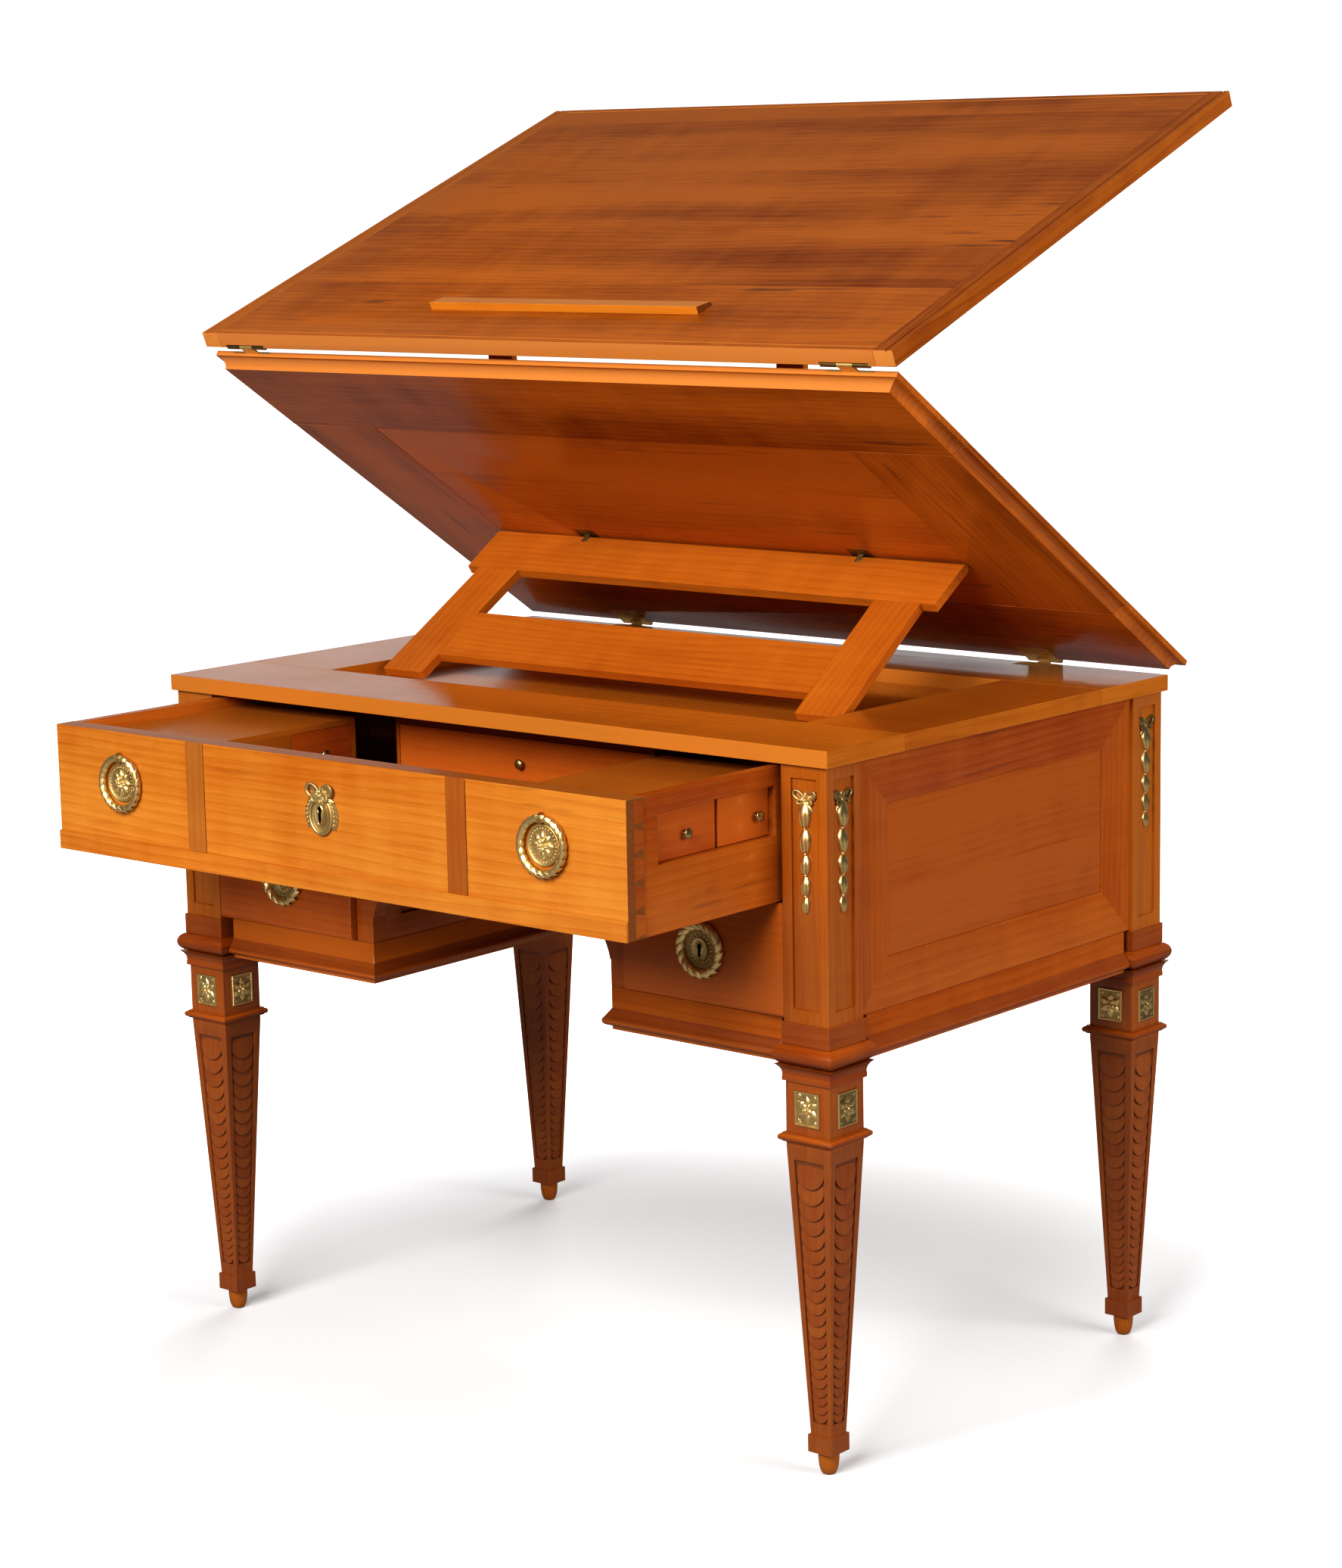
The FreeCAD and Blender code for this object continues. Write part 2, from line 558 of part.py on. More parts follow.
def pedestal_base():
    """A moulded plinth around one pedestal: fascia, sloped top and bead, mitred at the corners."""
    xs, ys = ("kneehole_half", SIDE_X), (f"-{BACK_Y}", BACK_Y)

    def grown(span, out):
        return (f"{span[0]} - ({out})", f"{span[1]} + ({out})")

    fascia = block(xs, ys, ("base_low", "base_high"))
    reach = "(bead_stand + bead_radius)"
    wide = (grown(xs, f"{reach} - 1"), grown(ys, f"{reach} - 1"))
    slope = taper("z", ("base_bead + bead_radius/2", "base_mid"), wide, (xs, ys))
    flat = (grown(xs, "bead_stand"), grown(ys, "bead_stand"))
    level = ("base_bead - bead_radius", "base_bead + bead_radius")
    long_x, long_y = (f"{span[1]} - ({span[0]}) + 2*{reach}" for span in (xs, ys))
    along_x = [rod("x", "bead_radius", (f"{xs[0]} - {reach}", y, "base_bead"), long_x) for y in flat[1]]
    along_y = [rod("y", "bead_radius", (x, f"{ys[0]} - {reach}", "base_bead"), long_y) for x in flat[0]]
    run_x = fuse(block(grown(xs, reach), flat[1], level), *along_x)
    run_y = fuse(block(flat[0], grown(ys, reach), level), *along_y)
    inside = block(grown(xs, "-base_wall"), grown(ys, "-base_wall"), ("base_low - 1", "base_high + 1"))
    corner = "torus_size + 2*capital_gap"
    corners = [block(around(LEG_X, corner), around(y, corner), ("base_low - 20", "base_high + 1"))
               for y in (f"-{LEG_Y}", LEG_Y)]
    return cut(fuse(fascia, slope, common(run_x, run_y)), inside, *corners)


def pedestal_bottom():
    xs = ("kneehole_half + base_wall", f"{SIDE_X} - base_wall")
    ys = both("(pedestal_front - base_wall)")
    board = block(xs, ys, ("base_mid", "base_mid + bottom_thick"))
    size = "band_size + 2*capital_gap"
    zs = ("base_mid - 1", "base_high")
    corners = [block(around(LEG_X, size), around(y, size), zs) for y in (f"-{LEG_Y}", LEG_Y)]
    return cut(board, *corners)


def apron():
    """The board over the kneehole, with a quarter round in each upper corner of the opening."""
    ys = (f"-{BACK_Y}", KNEE_FRONT)
    spring = "(arch_top - arch_radius)"
    board = block(both("kneehole_half"), ys, (f"{spring} + arch_tip", "bed_top"))
    reach = "(kneehole_half - arch_radius)"
    middle = block(both(reach), (f"{ys[0]} - 1", f"{ys[1]} + 1"), (f"{spring} - 1", "arch_top"))
    rounds = [rod("y", "arch_radius", (f"{sign}{reach}", f"{ys[0]} - 1", spring), "front_thick + 2")
              for sign in ("-", "")]
    return cut(board, middle, *rounds)


def front_stile():
    xs = ("kneehole_half", "kneehole_half + stile_width")
    return block(xs, (f"-{BACK_Y}", KNEE_FRONT), ("base_high", "bed_top"))


def drawer_bed():
    """The board under the wide drawer, behind the front frame."""
    return block(both(INNER_X), (KNEE_FRONT, KNEE_BACK), (BED_LOW, "bed_top"))


def guides():
    """Side guides of the wide drawer, and the runners of one pedestal drawer."""
    guide_x = (f"{DRAWER_SIDE} + side_gap", f"{SIDE_X} - side_thick")
    guide = block(guide_x, both(INNER_Y), ("bed_top", "guide_high"))
    low, high = "(base_mid + bottom_thick)", "(lower_box_low - slide_gap)"
    inner = "(kneehole_half + stile_width + lower_box_side)"
    outer = f"({INNER_X} - lower_box_side - runner_wide)"
    ys = (KNEE_FRONT, f"{KNEE_BACK} - runner_wide")
    runners = [block((x, f"{x} + runner_wide"), ys, (low, high)) for x in (inner, outer)]
    return [guide, *runners]


DRAWER_SIDE = "(drawer_half - drawer_inset)"
DRAWER_LOW = "(bed_top + slide_gap)"
BOARD_BACK = "(-drawer_face + drawer_board)"
DRAWER_BACK = "(-drawer_face + drawer_length)"


def tails():
    """The dovetails of one drawer side, widening towards the drawer front."""
    solids = []
    count = number_of("tail_count")
    pitch = f"((drawer_high - {DRAWER_LOW})/{count})"
    for step in range(count):
        level = f"({DRAWER_LOW} + {step + 0.5}*{pitch})"
        root = around(level, "2*tail_root")
        end = around(level, "2*tail_end")
        xs = (f"{DRAWER_SIDE} - drawer_wall", DRAWER_SIDE)
        solids.append(taper("y", (f"{BOARD_BACK} - tail_long", BOARD_BACK), (xs, end), (xs, root)))
    return solids


def drawer_front():
    board = block(both("drawer_half"), ("-drawer_face", BOARD_BACK), (DRAWER_LOW, "drawer_high"))
    sockets = [socket for tail in tails() for socket in pair(tail)]
    return cut(board, *sockets)


def front_strips():
    """The plinth strip and the two upright strips that divide the drawer front in three."""
    face = "-drawer_face"
    kick = block(both("drawer_half"), (f"{face} - kick_proud", face), (DRAWER_LOW, "kick_high"))
    strip = around("strip_x", "strip_width")
    upright = block(strip, (f"{face} - strip_proud", face), ("kick_high", "drawer_high"))
    return [kick, *pair(upright)]


def drawer_side():
    """A side board with a window for two small drawers, dovetailed into the front."""
    xs = (f"{DRAWER_SIDE} - drawer_wall", DRAWER_SIDE)
    board = block(xs, (BOARD_BACK, DRAWER_BACK), (DRAWER_LOW, "drawer_high"))
    through = (f"{xs[0]} - 1", f"{xs[1]} + 1")
    window = block(through, ("-window_front", "-window_back"), ("window_low", "window_high"))
    return cut(fuse(board, *tails()), window)


TRAY_X = f"({DRAWER_SIDE} - drawer_wall)"


def drawer_tray():
    """The floor and the back of the wide drawer."""
    inside = f"({DRAWER_BACK} - drawer_wall)"
    bottom = block(both(TRAY_X), (BOARD_BACK, inside), ("tray_low", "tray_low + tray_thick"))
    back = block(both(TRAY_X), (inside, DRAWER_BACK), ("tray_low", "tray_back_high"))
    return [bottom, back]


POD_MID = "(pod_inner + pod_wall + box_deep + pod_gap)"
SHELF_LOW = "(window_low - box_gap - pod_board)"
CEILING = "(window_high + box_gap)"


def pod_boards():
    """The case of small drawers along one side of the wide drawer: walls, shelf, top and partitions."""
    ys = (BOARD_BACK, "-pod_end")
    xs = ("pod_inner", TRAY_X)
    shelf = block((f"{xs[0]} + pod_wall", xs[1]), ys, (SHELF_LOW, f"{SHELF_LOW} + pod_board"))
    top = block(xs, ys, (CEILING, "pod_top"))
    inner_zs = ("tray_low + tray_thick", CEILING)
    inner = block(("pod_inner", "pod_inner + pod_wall"), ys, inner_zs)
    through = ("pod_inner - 1", "pod_inner + pod_wall + 1")
    door = block(through, ("-inner_front", "-inner_back"), ("window_low", "window_high"))
    above = (f"{SHELF_LOW} + pod_board", CEILING)
    middle = block((POD_MID, f"{POD_MID} + pod_wall/2"), ys, above)
    split = block((f"{POD_MID} + pod_wall/2", TRAY_X), around("-window_split", "split_thick"), above)
    end_y = ("-pod_end - pod_wall/2", "-pod_end")
    end = block((f"{xs[0]} + pod_wall", xs[1]), end_y, ("tray_low + tray_thick", SHELF_LOW))
    return [shelf, top, cut(inner, door), middle, split, end]


def rear_case():
    """The case of the wide small drawer at the back, with a shelf, a top and two cheeks."""
    ys = ("-rear_face", "-rear_face + rear_deep + pod_wall")
    out = "(rear_half + box_gap)"
    shelf = block(both(f"({out} + pod_board)"), ys, (SHELF_LOW, f"{SHELF_LOW} + pod_board"))
    top = block(both(f"({out} + pod_board)"), ys, (CEILING, "pod_top"))
    cheek = block((out, f"{out} + pod_board"), ys, (f"{SHELF_LOW} + pod_board", CEILING))
    leg_board = block((out, f"{out} + pod_board"), ys, ("tray_low + tray_thick", SHELF_LOW))
    return [shelf, top, *pair(cheek), *pair(leg_board)]


def open_box(xs, ys, zs, face, face_side):
    """A small drawer: a thick front with thinner sides, back and floor, open at the top."""
    body = block(xs, ys, zs)
    walls = {"x": ["box_wall", "box_wall"], "y": ["box_wall", "box_wall"]}
    walls[face_side[-1]][0 if face_side.startswith("-") else 1] = face
    room_x = (f"{xs[0]} + {walls['x'][0]}", f"{xs[1]} - {walls['x'][1]}")
    room_y = (f"{ys[0]} + {walls['y'][0]}", f"{ys[1]} - {walls['y'][1]}")
    return cut(body, block(room_x, room_y, (f"{zs[0]} + box_floor", f"{zs[1]} + 1")))


BOX_ZS = ("window_low + box_gap", "window_high - box_gap")
BOX_OUT = f"({DRAWER_SIDE} - box_recess)"


def outer_box(ys):
    shrunk = (f"{ys[0]} + box_gap", f"{ys[1]} - box_gap")
    return open_box((f"{BOX_OUT} - box_deep", BOX_OUT), shrunk, BOX_ZS, "box_face", "x")


def inner_box():
    ys = ("-inner_front + box_gap", "-inner_back - box_gap")
    return open_box(("pod_inner", "pod_inner + box_deep"), ys, BOX_ZS, "box_face", "-x")


def rear_box():
    return open_box(both("rear_half"), ("-rear_face", "-rear_face + rear_deep"), BOX_ZS, "box_face", "-y")


def knob(side, at):
    """A small turned knob: stem, swelling and flat cap."""
    sign = "-" if side.startswith("-") else "+"
    spot = 0 if side.endswith("x") else 1

    def step(out):
        moved = list(at)
        moved[spot] = f"{at[spot]} {sign} {out}*knob_stand"
        return tuple(moved)

    stem = rod(side, "knob_stem", at, "0.5*knob_stand")
    swell = cone(side, "knob_stem", "knob_radius", step(0.35), "0.35*knob_stand")
    cap = cone(side, "knob_radius", "0.55*knob_radius", step(0.7), "0.3*knob_stand")
    return fuse(stem, swell, cap)


def pull_plate():
    """A round backplate with a boss and an eye over it that holds the ring."""
    x, y, z = "pull_x", "-drawer_face", "pull_high"
    disc = cone("-y", "pull_plate", "pull_plate - plate_bevel", (x, y, z), "pull_plate_thick")
    boss = cone("-y", "pull_boss", "pull_boss/2", (x, f"{y} - pull_plate_thick", z), "pull_boss_rise")
    top = "(pull_high + ring_radius)"
    tall = "2*(ring_tube + eye_gap + eye_wall)"
    eye = block(around(x, "eye_width"), (f"{y} - eye_reach", y), around(top, tall))
    bore = rod("x", "ring_tube + eye_gap", (f"{x} - eye_width", f"{y} - ring_stand", top), "2*eye_width")
    return fuse(disc, boss), cut(eye, bore)


def ring(side):
    """A ring handle that hangs flat against the drawer front."""
    hoop = doc.addObject("Part::Torus", "Hoop")
    hoop.Placement = FreeCAD.Placement(FreeCAD.Vector(), TURNS["y"])
    bind(hoop, Radius1="ring_radius", Radius2="ring_tube")
    return settle(hoop, (f"{side}pull_x", "-drawer_face - ring_stand", "pull_high"))


def keyhole(x, front, level, through):
    """The room of a keyhole: a round eye over a narrow slot."""
    eye = rod("y", "key_radius", (x, front, level), through)
    slot = block(around(x, "key_slot"), (front, f"{front} + {through}"), (f"{level} - key_drop", level))
    return fuse(eye, slot)


def lock_plate():
    """The keyhole plate under a tied bow at the middle of the drawer front."""
    face = "-drawer_face"
    disc = cone("-y", "lock_radius", "lock_radius - plate_bevel", ("0", face, "lock_high"), "lock_thick")
    neck = block(both("bow_tie"), (f"{face} - lock_thick", face), ("lock_high", "lock_bow_high"))
    knot = ("0", face, "lock_bow_high")
    loops = [cone(way, "bow_tie", "bow_radius", knot, "lock_bow_reach") for way in ("x", "-x")]
    wood = block(both("2*lock_bow_reach"), (face, f"{face} + 20"), ("lock_high - 40", "lock_bow_high + 40"))
    bow = cut(fuse(*loops), wood)
    return cut(fuse(disc, neck, bow), keyhole("0", f"{face} - 20", "(lock_high + key_up)", "21"))


def lower_drawer():
    """A pedestal drawer: a proud front with a rounded foot, and a box behind it."""
    xs = ("kneehole_half + stile_width + lower_gap", f"{INNER_X} - lower_gap")
    zs = ("base_high + lower_gap", "lower_high")
    back = "(-lower_face + lower_board)"
    front = block(xs, ("-lower_face", back), zs)
    turn_y, turn_z = "(-lower_face + lower_round)", f"({zs[0]} + lower_round)"
    past = (f"{xs[0]} - 1", f"{xs[1]} + 1")
    edge = block(past, ("-lower_face - 1", turn_y), (f"{zs[0]} - 1", turn_z))
    curve = rod("x", "lower_round", (f"{past[0]} - 1", turn_y, turn_z), f"{xs[1]} - ({xs[0]}) + 4")
    shaped = cut(front, cut(edge, curve))
    wide = (f"{xs[0]} + lower_box_side", f"{xs[1]} - lower_box_side")
    ys = (back, f"{back} + lower_box_long")
    body = block(wide, ys, ("lower_box_low", "lower_box_high"))
    room = block((f"{wide[0]} + lower_wall", f"{wide[1]} - lower_wall"), (ys[0], f"{ys[1]} - lower_wall"),
                 ("lower_box_low + lower_wall", "lower_box_high + 1"))
    return [shaped, cut(body, room)]


def wreath_plate():
    """The round lock plate of a pedestal drawer, a dish with a rim and a keyhole boss."""
    x, face = LOWER_MID, "-lower_face"
    start = (x, face, "wreath_high")
    disc = cone("-y", "wreath_radius", "wreath_radius - plate_bevel/2", start, "lock_thick")
    dish = (x, f"{face} - lock_thick", "wreath_high")
    boss = cone("-y", "pull_boss", "0.7*pull_boss", dish, "pull_boss_rise")
    rim = doc.addObject("Part::Torus", "Rim")
    rim.Placement = FreeCAD.Placement(FreeCAD.Vector(), TURNS["y"])
    bind(rim, Radius1="wreath_radius", Radius2="wreath_tube")
    settle(rim, (x, f"{face} - wreath_tube + wreath_sunk", "wreath_high"))
    room = "4*wreath_radius"
    behind = block(around(x, room), (face, f"{face} + 20"), around("wreath_high", room))
    return cut(fuse(disc, boss, rim), behind, keyhole(x, f"{face} - 20", "(wreath_high + key_up)", "21"))


LOWER_MID = f"((kneehole_half + stile_width + {INNER_X})/2)"


def top_bars():
    """Front and back bars the full width of the top, with the side bars between them."""
    zs = (UNDER, "slab_top")
    front = block(both("slab_width/2"), ("-slab_depth/2", WELL_FRONT), zs)
    plates = [back_hinge_plate(x, "slab") for x in ("-", "")]
    back = cut(block(both("slab_width/2"), (WELL_BACK, "slab_depth/2"), zs), *plates)
    side = block((WELL_X, "slab_width/2"), (WELL_FRONT, WELL_BACK), zs)
    return front, back, side


def well_floor():
    inside = block(both(WELL_X), (WELL_FRONT, WELL_BACK), (f"{WELL_FLOOR} - well_floor_thick", WELL_FLOOR))
    lap_y = (f"{WELL_FRONT} - floor_lap", f"{WELL_BACK} + floor_lap")
    lapped = block(both(f"({WELL_X} + floor_lap)"), lap_y, (f"{WELL_FLOOR} - well_floor_thick", UNDER))
    return fuse(inside, lapped)


def back_hinge_plate(sign, on, relief="0"):
    """The flat plate of a back hinge, or the room for it, in the top or in the leaf's underside."""
    xs = around(f"{sign}back_hinge_x", "back_hinge_long")
    if on == "slab":
        ys, zs = ("slab_depth/2 - plate_deep", "slab_depth/2"), ("slab_top - plate_thick", "slab_top")
        return block(xs, ys, zs)
    ys = (f"{LEAF_BOTTOM_BACK} - plate_deep", f"{LEAF_BOTTOM_BACK} + {relief}")
    return block(xs, ys, (LEAF_LOW, f"{LEAF_LOW} + plate_thick"))


LEAF_BOTTOM_BACK = "(leaf_back - leaf_cove)"


def thirds(middle, length, inner):
    """The knuckles' share of a hinge's length: the middle third, or the two outer ones."""
    start = f"({middle} - {length}/2)"
    third = f"({length}/3)"
    if inner:
        return [(f"{start} + {third} + hinge_gap/2", f"{start} + 2*{third} - hinge_gap/2")]
    first = (start, f"{start} + {third} - hinge_gap/2")
    last = (f"{start} + 2*{third} + hinge_gap/2", f"{start} + 3*{third}")
    return [first, last]


def knuckles(spans, pivot):
    return [rod("x", "knuckle_radius", (x0, *pivot), f"{x1} - ({x0})") for x0, x1 in spans]


def hinge_pin(middle, length, pivot, gap="0"):
    return rod("x", f"pin_radius + {gap}", (f"{middle} - {length}/2", *pivot), length)


def back_hinge_fixed(sign):
    middle = f"{sign}back_hinge_x"
    spans = thirds(middle, "back_hinge_long", True)
    low = "slab_top - plate_thick"
    risers = [block(span, ("slab_depth/2", BACK_PIVOT[0]), (low, "slab_top")) for span in spans]
    under = (f"{BACK_PIVOT[0]} - knuckle_radius", BACK_PIVOT[0])
    risers += [block(span, under, (low, BACK_PIVOT[1])) for span in spans]
    pin = hinge_pin(middle, "back_hinge_long", BACK_PIVOT)
    return fuse(back_hinge_plate(sign, "slab"), *risers, *knuckles(spans, BACK_PIVOT), pin)


def back_hinge_moving(sign):
    middle = f"{sign}back_hinge_x"
    spans = thirds(middle, "back_hinge_long", False)
    zs = (LEAF_LOW, f"{LEAF_LOW} + plate_thick")
    tabs = [block(span, (LEAF_BOTTOM_BACK, BACK_PIVOT[0]), zs) for span in spans]
    body = fuse(back_hinge_plate(sign, "leaf"), *tabs, *knuckles(spans, BACK_PIVOT))
    return cut(body, hinge_pin(middle, "back_hinge_long", BACK_PIVOT, "pin_gap"))


def fold_plate(sign, on):
    """The flat plate of a fold hinge, let into the lower leaf's top or the upper leaf's underside."""
    xs = around(f"{sign}fold_hinge_x", "fold_hinge_long")
    if on == "lower":
        zs = (f"{LEAF_TOP} - plate_thick", LEAF_TOP)
        return block(xs, ("-leaf_front", "-leaf_front + plate_deep"), zs)
    start = f"({FOLD_PIVOT[0]} + knuckle_radius + knuckle_gap)"
    return block(xs, (start, f"{start} + plate_deep"), (UPPER_LOW, f"{UPPER_LOW} + plate_thick"))


def fold_hinge_lower(sign):
    middle = f"{sign}fold_hinge_x"
    spans = thirds(middle, "fold_hinge_long", True)
    zs = (f"{LEAF_TOP} - plate_thick", LEAF_TOP)
    tabs = [block(span, (FOLD_PIVOT[0], "-leaf_front"), zs) for span in spans]
    pin = hinge_pin(middle, "fold_hinge_long", FOLD_PIVOT)
    return fuse(fold_plate(sign, "lower"), *tabs, *knuckles(spans, FOLD_PIVOT), pin)


def fold_hinge_upper(sign):
    middle = f"{sign}fold_hinge_x"
    spans = thirds(middle, "fold_hinge_long", False)
    reach = f"({FOLD_PIVOT[0]} + knuckle_radius + knuckle_gap)"
    zs = (UPPER_LOW, f"{UPPER_LOW} + plate_thick")
    tabs = [block(span, (FOLD_PIVOT[0], reach), zs) for span in spans]
    body = fuse(fold_plate(sign, "upper"), *tabs, *knuckles(spans, FOLD_PIVOT))
    return cut(body, hinge_pin(middle, "fold_hinge_long", FOLD_PIVOT, "pin_gap"))


def leaf_blank():
    """The lower leaf's whole outline, with a hollow moulding under its thin lip on all four sides."""
    ys = ("-leaf_front", "leaf_back")
    board = block(both(LEAF_X), ys, (LEAF_LOW, LEAF_TOP))
    hollows = [rod("x", "leaf_cove", (f"-{LEAF_X} - 1", y, LEAF_LOW), "leaf_width + 2") for y in ys]
    long = "leaf_front + leaf_back + 2"
    hollows += [rod("y", "leaf_cove", (x, "-leaf_front - 1", LEAF_LOW), long) for x in both(LEAF_X)]
    return cut(board, *hollows)


def leaf_bars():
    """The lower leaf's frame: full-width front and back bars with side bars between them."""
    zs = (f"{LEAF_LOW} - 1", f"{LEAF_TOP} + 1")
    wide = both(f"({LEAF_X} + 1)")
    front = common(leaf_blank(), block(wide, ("-leaf_front - 1", LEAF_OPEN_FRONT), zs))
    back = common(leaf_blank(), block(wide, (LEAF_OPEN_BACK, "leaf_back + 1"), zs))
    front = cut(front, *[fold_plate(sign, "lower") for sign in ("-", "")])
    back = cut(back, *[back_hinge_plate(sign, "leaf", "hinge_relief") for sign in ("-", "")])
    between = (LEAF_OPEN_FRONT, LEAF_OPEN_BACK)
    side = common(leaf_blank(), block((LEAF_OPEN_X, f"{LEAF_X} + 1"), between, zs))
    return front, back, side


def leaf_panel():
    """The thin panel of the lower leaf, with room for the strut's bracket plates."""
    board = block(both(LEAF_OPEN_X), (LEAF_OPEN_FRONT, LEAF_OPEN_BACK), (PANEL_LOW, LEAF_FLOOR))
    room = (PANEL_LOW, f"{PANEL_LOW} + plate_thick")
    plates = [bracket_plate(f"{sign}bracket_x", STRUT_PIVOT[0], room) for sign in ("-", "")]
    return cut(board, *plates)


def bracket_plate(x, y, zs):
    return block(around(x, "bracket_plate"), around(y, "bracket_plate"), zs)


def bracket(x, pivot, zs, thick):
    """A small plate with an ear and a pin, on which a strut turns."""
    plate = bracket_plate(x, pivot[0], zs)
    round_end = f"({thick}/2 - ear_trim)"
    ear = block(around(x, "ear_width"), around(pivot[0], f"2*{round_end}"), (pivot[1], zs[0]))
    eye = rod("x", round_end, (f"{x} - ear_width/2", *pivot), "ear_width")
    pin = rod("x", "pin_radius", (f"{x} - bracket_pin/2", *pivot), "bracket_pin")
    return fuse(plate, ear, eye, pin)


def pivot_rail(half, ys, pivot, thick, xs_ears):
    """A rail with a rounded edge about its pivot, notched and bored for the brackets."""
    low, high = f"({pivot[1]} - {thick}/2)", f"({pivot[1]} + {thick}/2)"
    edge = rod("x", f"{thick}/2", (f"-({half})", *pivot), f"2*{half}")
    body = fuse(block(both(half), ys, (low, high)), edge)
    tools = []
    for x in xs_ears:
        wide = around(x, "ear_width + 2*ear_gap")
        deep = around(pivot[0], f"{thick} + 2*ear_gap")
        tools.append(block(wide, deep, (f"{low} - 1", f"{high} + 1")))
        start = (f"{x} - bracket_pin/2 - 1", *pivot)
        tools.append(rod("x", "pin_radius + pin_gap", start, "bracket_pin + 2"))
    return cut(body, *tools)


STRUT_FOOT = "(strut_pivot_y - strut_long)"
STRUT_RAIL_LOW = "(strut_pivot_y - strut_rail)"


def strut_inner(level):
    """The inner edge of the strut's leaning leg at a place along it."""
    lean = f"strut_splay*(({level}) - {STRUT_FOOT})/({STRUT_RAIL_LOW} - {STRUT_FOOT})"
    return f"(strut_foot_x - strut_leg - {lean})"


def strut_zs():
    return (f"{STRUT_PIVOT[1]} - strut_thick/2", f"{STRUT_PIVOT[1]} + strut_thick/2")


def strut_leg():
    zs = strut_zs()
    foot = ("strut_foot_x - strut_leg", "strut_foot_x")
    head = ("strut_foot_x - strut_leg - strut_splay", "strut_foot_x - strut_splay")
    return taper("y", (STRUT_FOOT, STRUT_RAIL_LOW), (foot, zs), (head, zs))


def strut_rails():
    zs = strut_zs()
    ears = [f"{sign}bracket_x" for sign in ("-", "")]
    top = pivot_rail("strut_half", (STRUT_RAIL_LOW, "strut_pivot_y"), STRUT_PIVOT, "strut_thick", ears)
    low, high = f"({STRUT_FOOT} + cross_low)", f"({STRUT_FOOT} + cross_high)"
    cross = taper("y", (low, high), (both(strut_inner(low)), zs), (both(strut_inner(high)), zs))
    return [top, cross]


STAY_END = f"({STAY_PIVOT[0]} + stay_long)"
STAY_RAIL_END = f"({STAY_PIVOT[0]} + stay_rail)"


def stay_solids():
    """The stay of the upper leaf: a pivoted rail, two legs with round feet and a cross rail."""
    zs = (f"{STAY_PIVOT[1]} - stay_thick/2", f"{STAY_PIVOT[1]} + stay_thick/2")
    ears = [f"{sign}stay_bracket_x" for sign in ("-", "")]
    top = pivot_rail("stay_half", (STAY_PIVOT[0], STAY_RAIL_END), STAY_PIVOT, "stay_thick", ears)
    xs = ("stay_half - stay_leg", "stay_half")
    foot = rod("x", "stay_thick/2", (xs[0], STAY_END, STAY_PIVOT[1]), "stay_leg")
    leg_piece = fuse(block(xs, (STAY_RAIL_END, STAY_END), zs), foot)
    cross_high = f"({STAY_END} - stay_cross_up)"
    cross = block(both("(stay_half - stay_leg)"), (f"{cross_high} - stay_cross", cross_high), zs)
    return [top, *pair(leg_piece), cross]


def upper_board():
    """The writing board, with a bead line, a slot for the book rest and room for the hinges."""
    xs = both(f"({UPPER_X} - upper_clamp)")
    ys = ("-upper_front", UPPER_BACK)
    board = block(xs, ys, (UPPER_LOW, UPPER_TOP))
    groove = (f"{UPPER_TOP} - bead_deep", f"{UPPER_TOP} + 1")
    tools = [block(xs, ("-upper_front + bead_in", "-upper_front + bead_in + bead_wide"), groove)]
    tools.append(block(xs, (f"{UPPER_BACK} - bead_in - bead_wide", f"{UPPER_BACK} - bead_in"), groove))
    tools.append(rest_slot())
    for sign in ("-", ""):
        tools.append(fold_plate(sign, "upper"))
        long = around(f"{sign}fold_hinge_x", "fold_hinge_long + 2*hinge_gap")
        near = f"({FOLD_PIVOT[0]} + knuckle_radius + knuckle_gap)"
        notch_high = f"{FOLD_PIVOT[1]} + knuckle_radius + knuckle_gap"
        tools.append(block(long, ("-upper_front - 1", near), (f"{UPPER_LOW} - 1", notch_high)))
        room = (UPPER_LOW, f"{UPPER_LOW} + plate_thick")
        tools.append(bracket_plate(f"{sign}stay_bracket_x", STAY_PIVOT[0], room))
    return cut(board, *tools)


REST_LOW = f"({UPPER_TOP} + rest_rise - rest_tall)"
REST_NEAR = "(-upper_front + rest_set)"
REST_FAR = "(-upper_front + rest_set + rest_thick)"


def rest_slot():
    """The slot in the writing board, deep enough for the book rest to sink flush."""
    ys = (f"{REST_NEAR} - rest_gap", f"{REST_FAR} + rest_gap")
    zs = (f"{REST_LOW} - rest_rise - rest_gap", f"{UPPER_TOP} + 1")
    return block(both("(rest_half + rest_gap)"), ys, zs)


def book_rest():
    """The book rest's bar: its front lip stands higher than its back edge, to hold a book's foot."""
    high = f"{REST_LOW} + rest_tall"
    lip = (both("rest_half"), (REST_LOW, high))
    back = (both("rest_half"), (REST_LOW, f"{high} - rest_fall"))
    return taper("y", (REST_NEAR, REST_FAR), lip, back)


def upper_clamp():
    xs = (f"{UPPER_X} - upper_clamp", UPPER_X)
    board = block(xs, ("-upper_front", UPPER_BACK), (UPPER_LOW, UPPER_TOP))
    line = block((f"{UPPER_X} - bead_in - bead_wide", f"{UPPER_X} - bead_in"), ("-upper_front", UPPER_BACK),
                 (f"{UPPER_TOP} - bead_deep", f"{UPPER_TOP} + 1"))
    return cut(board, line)


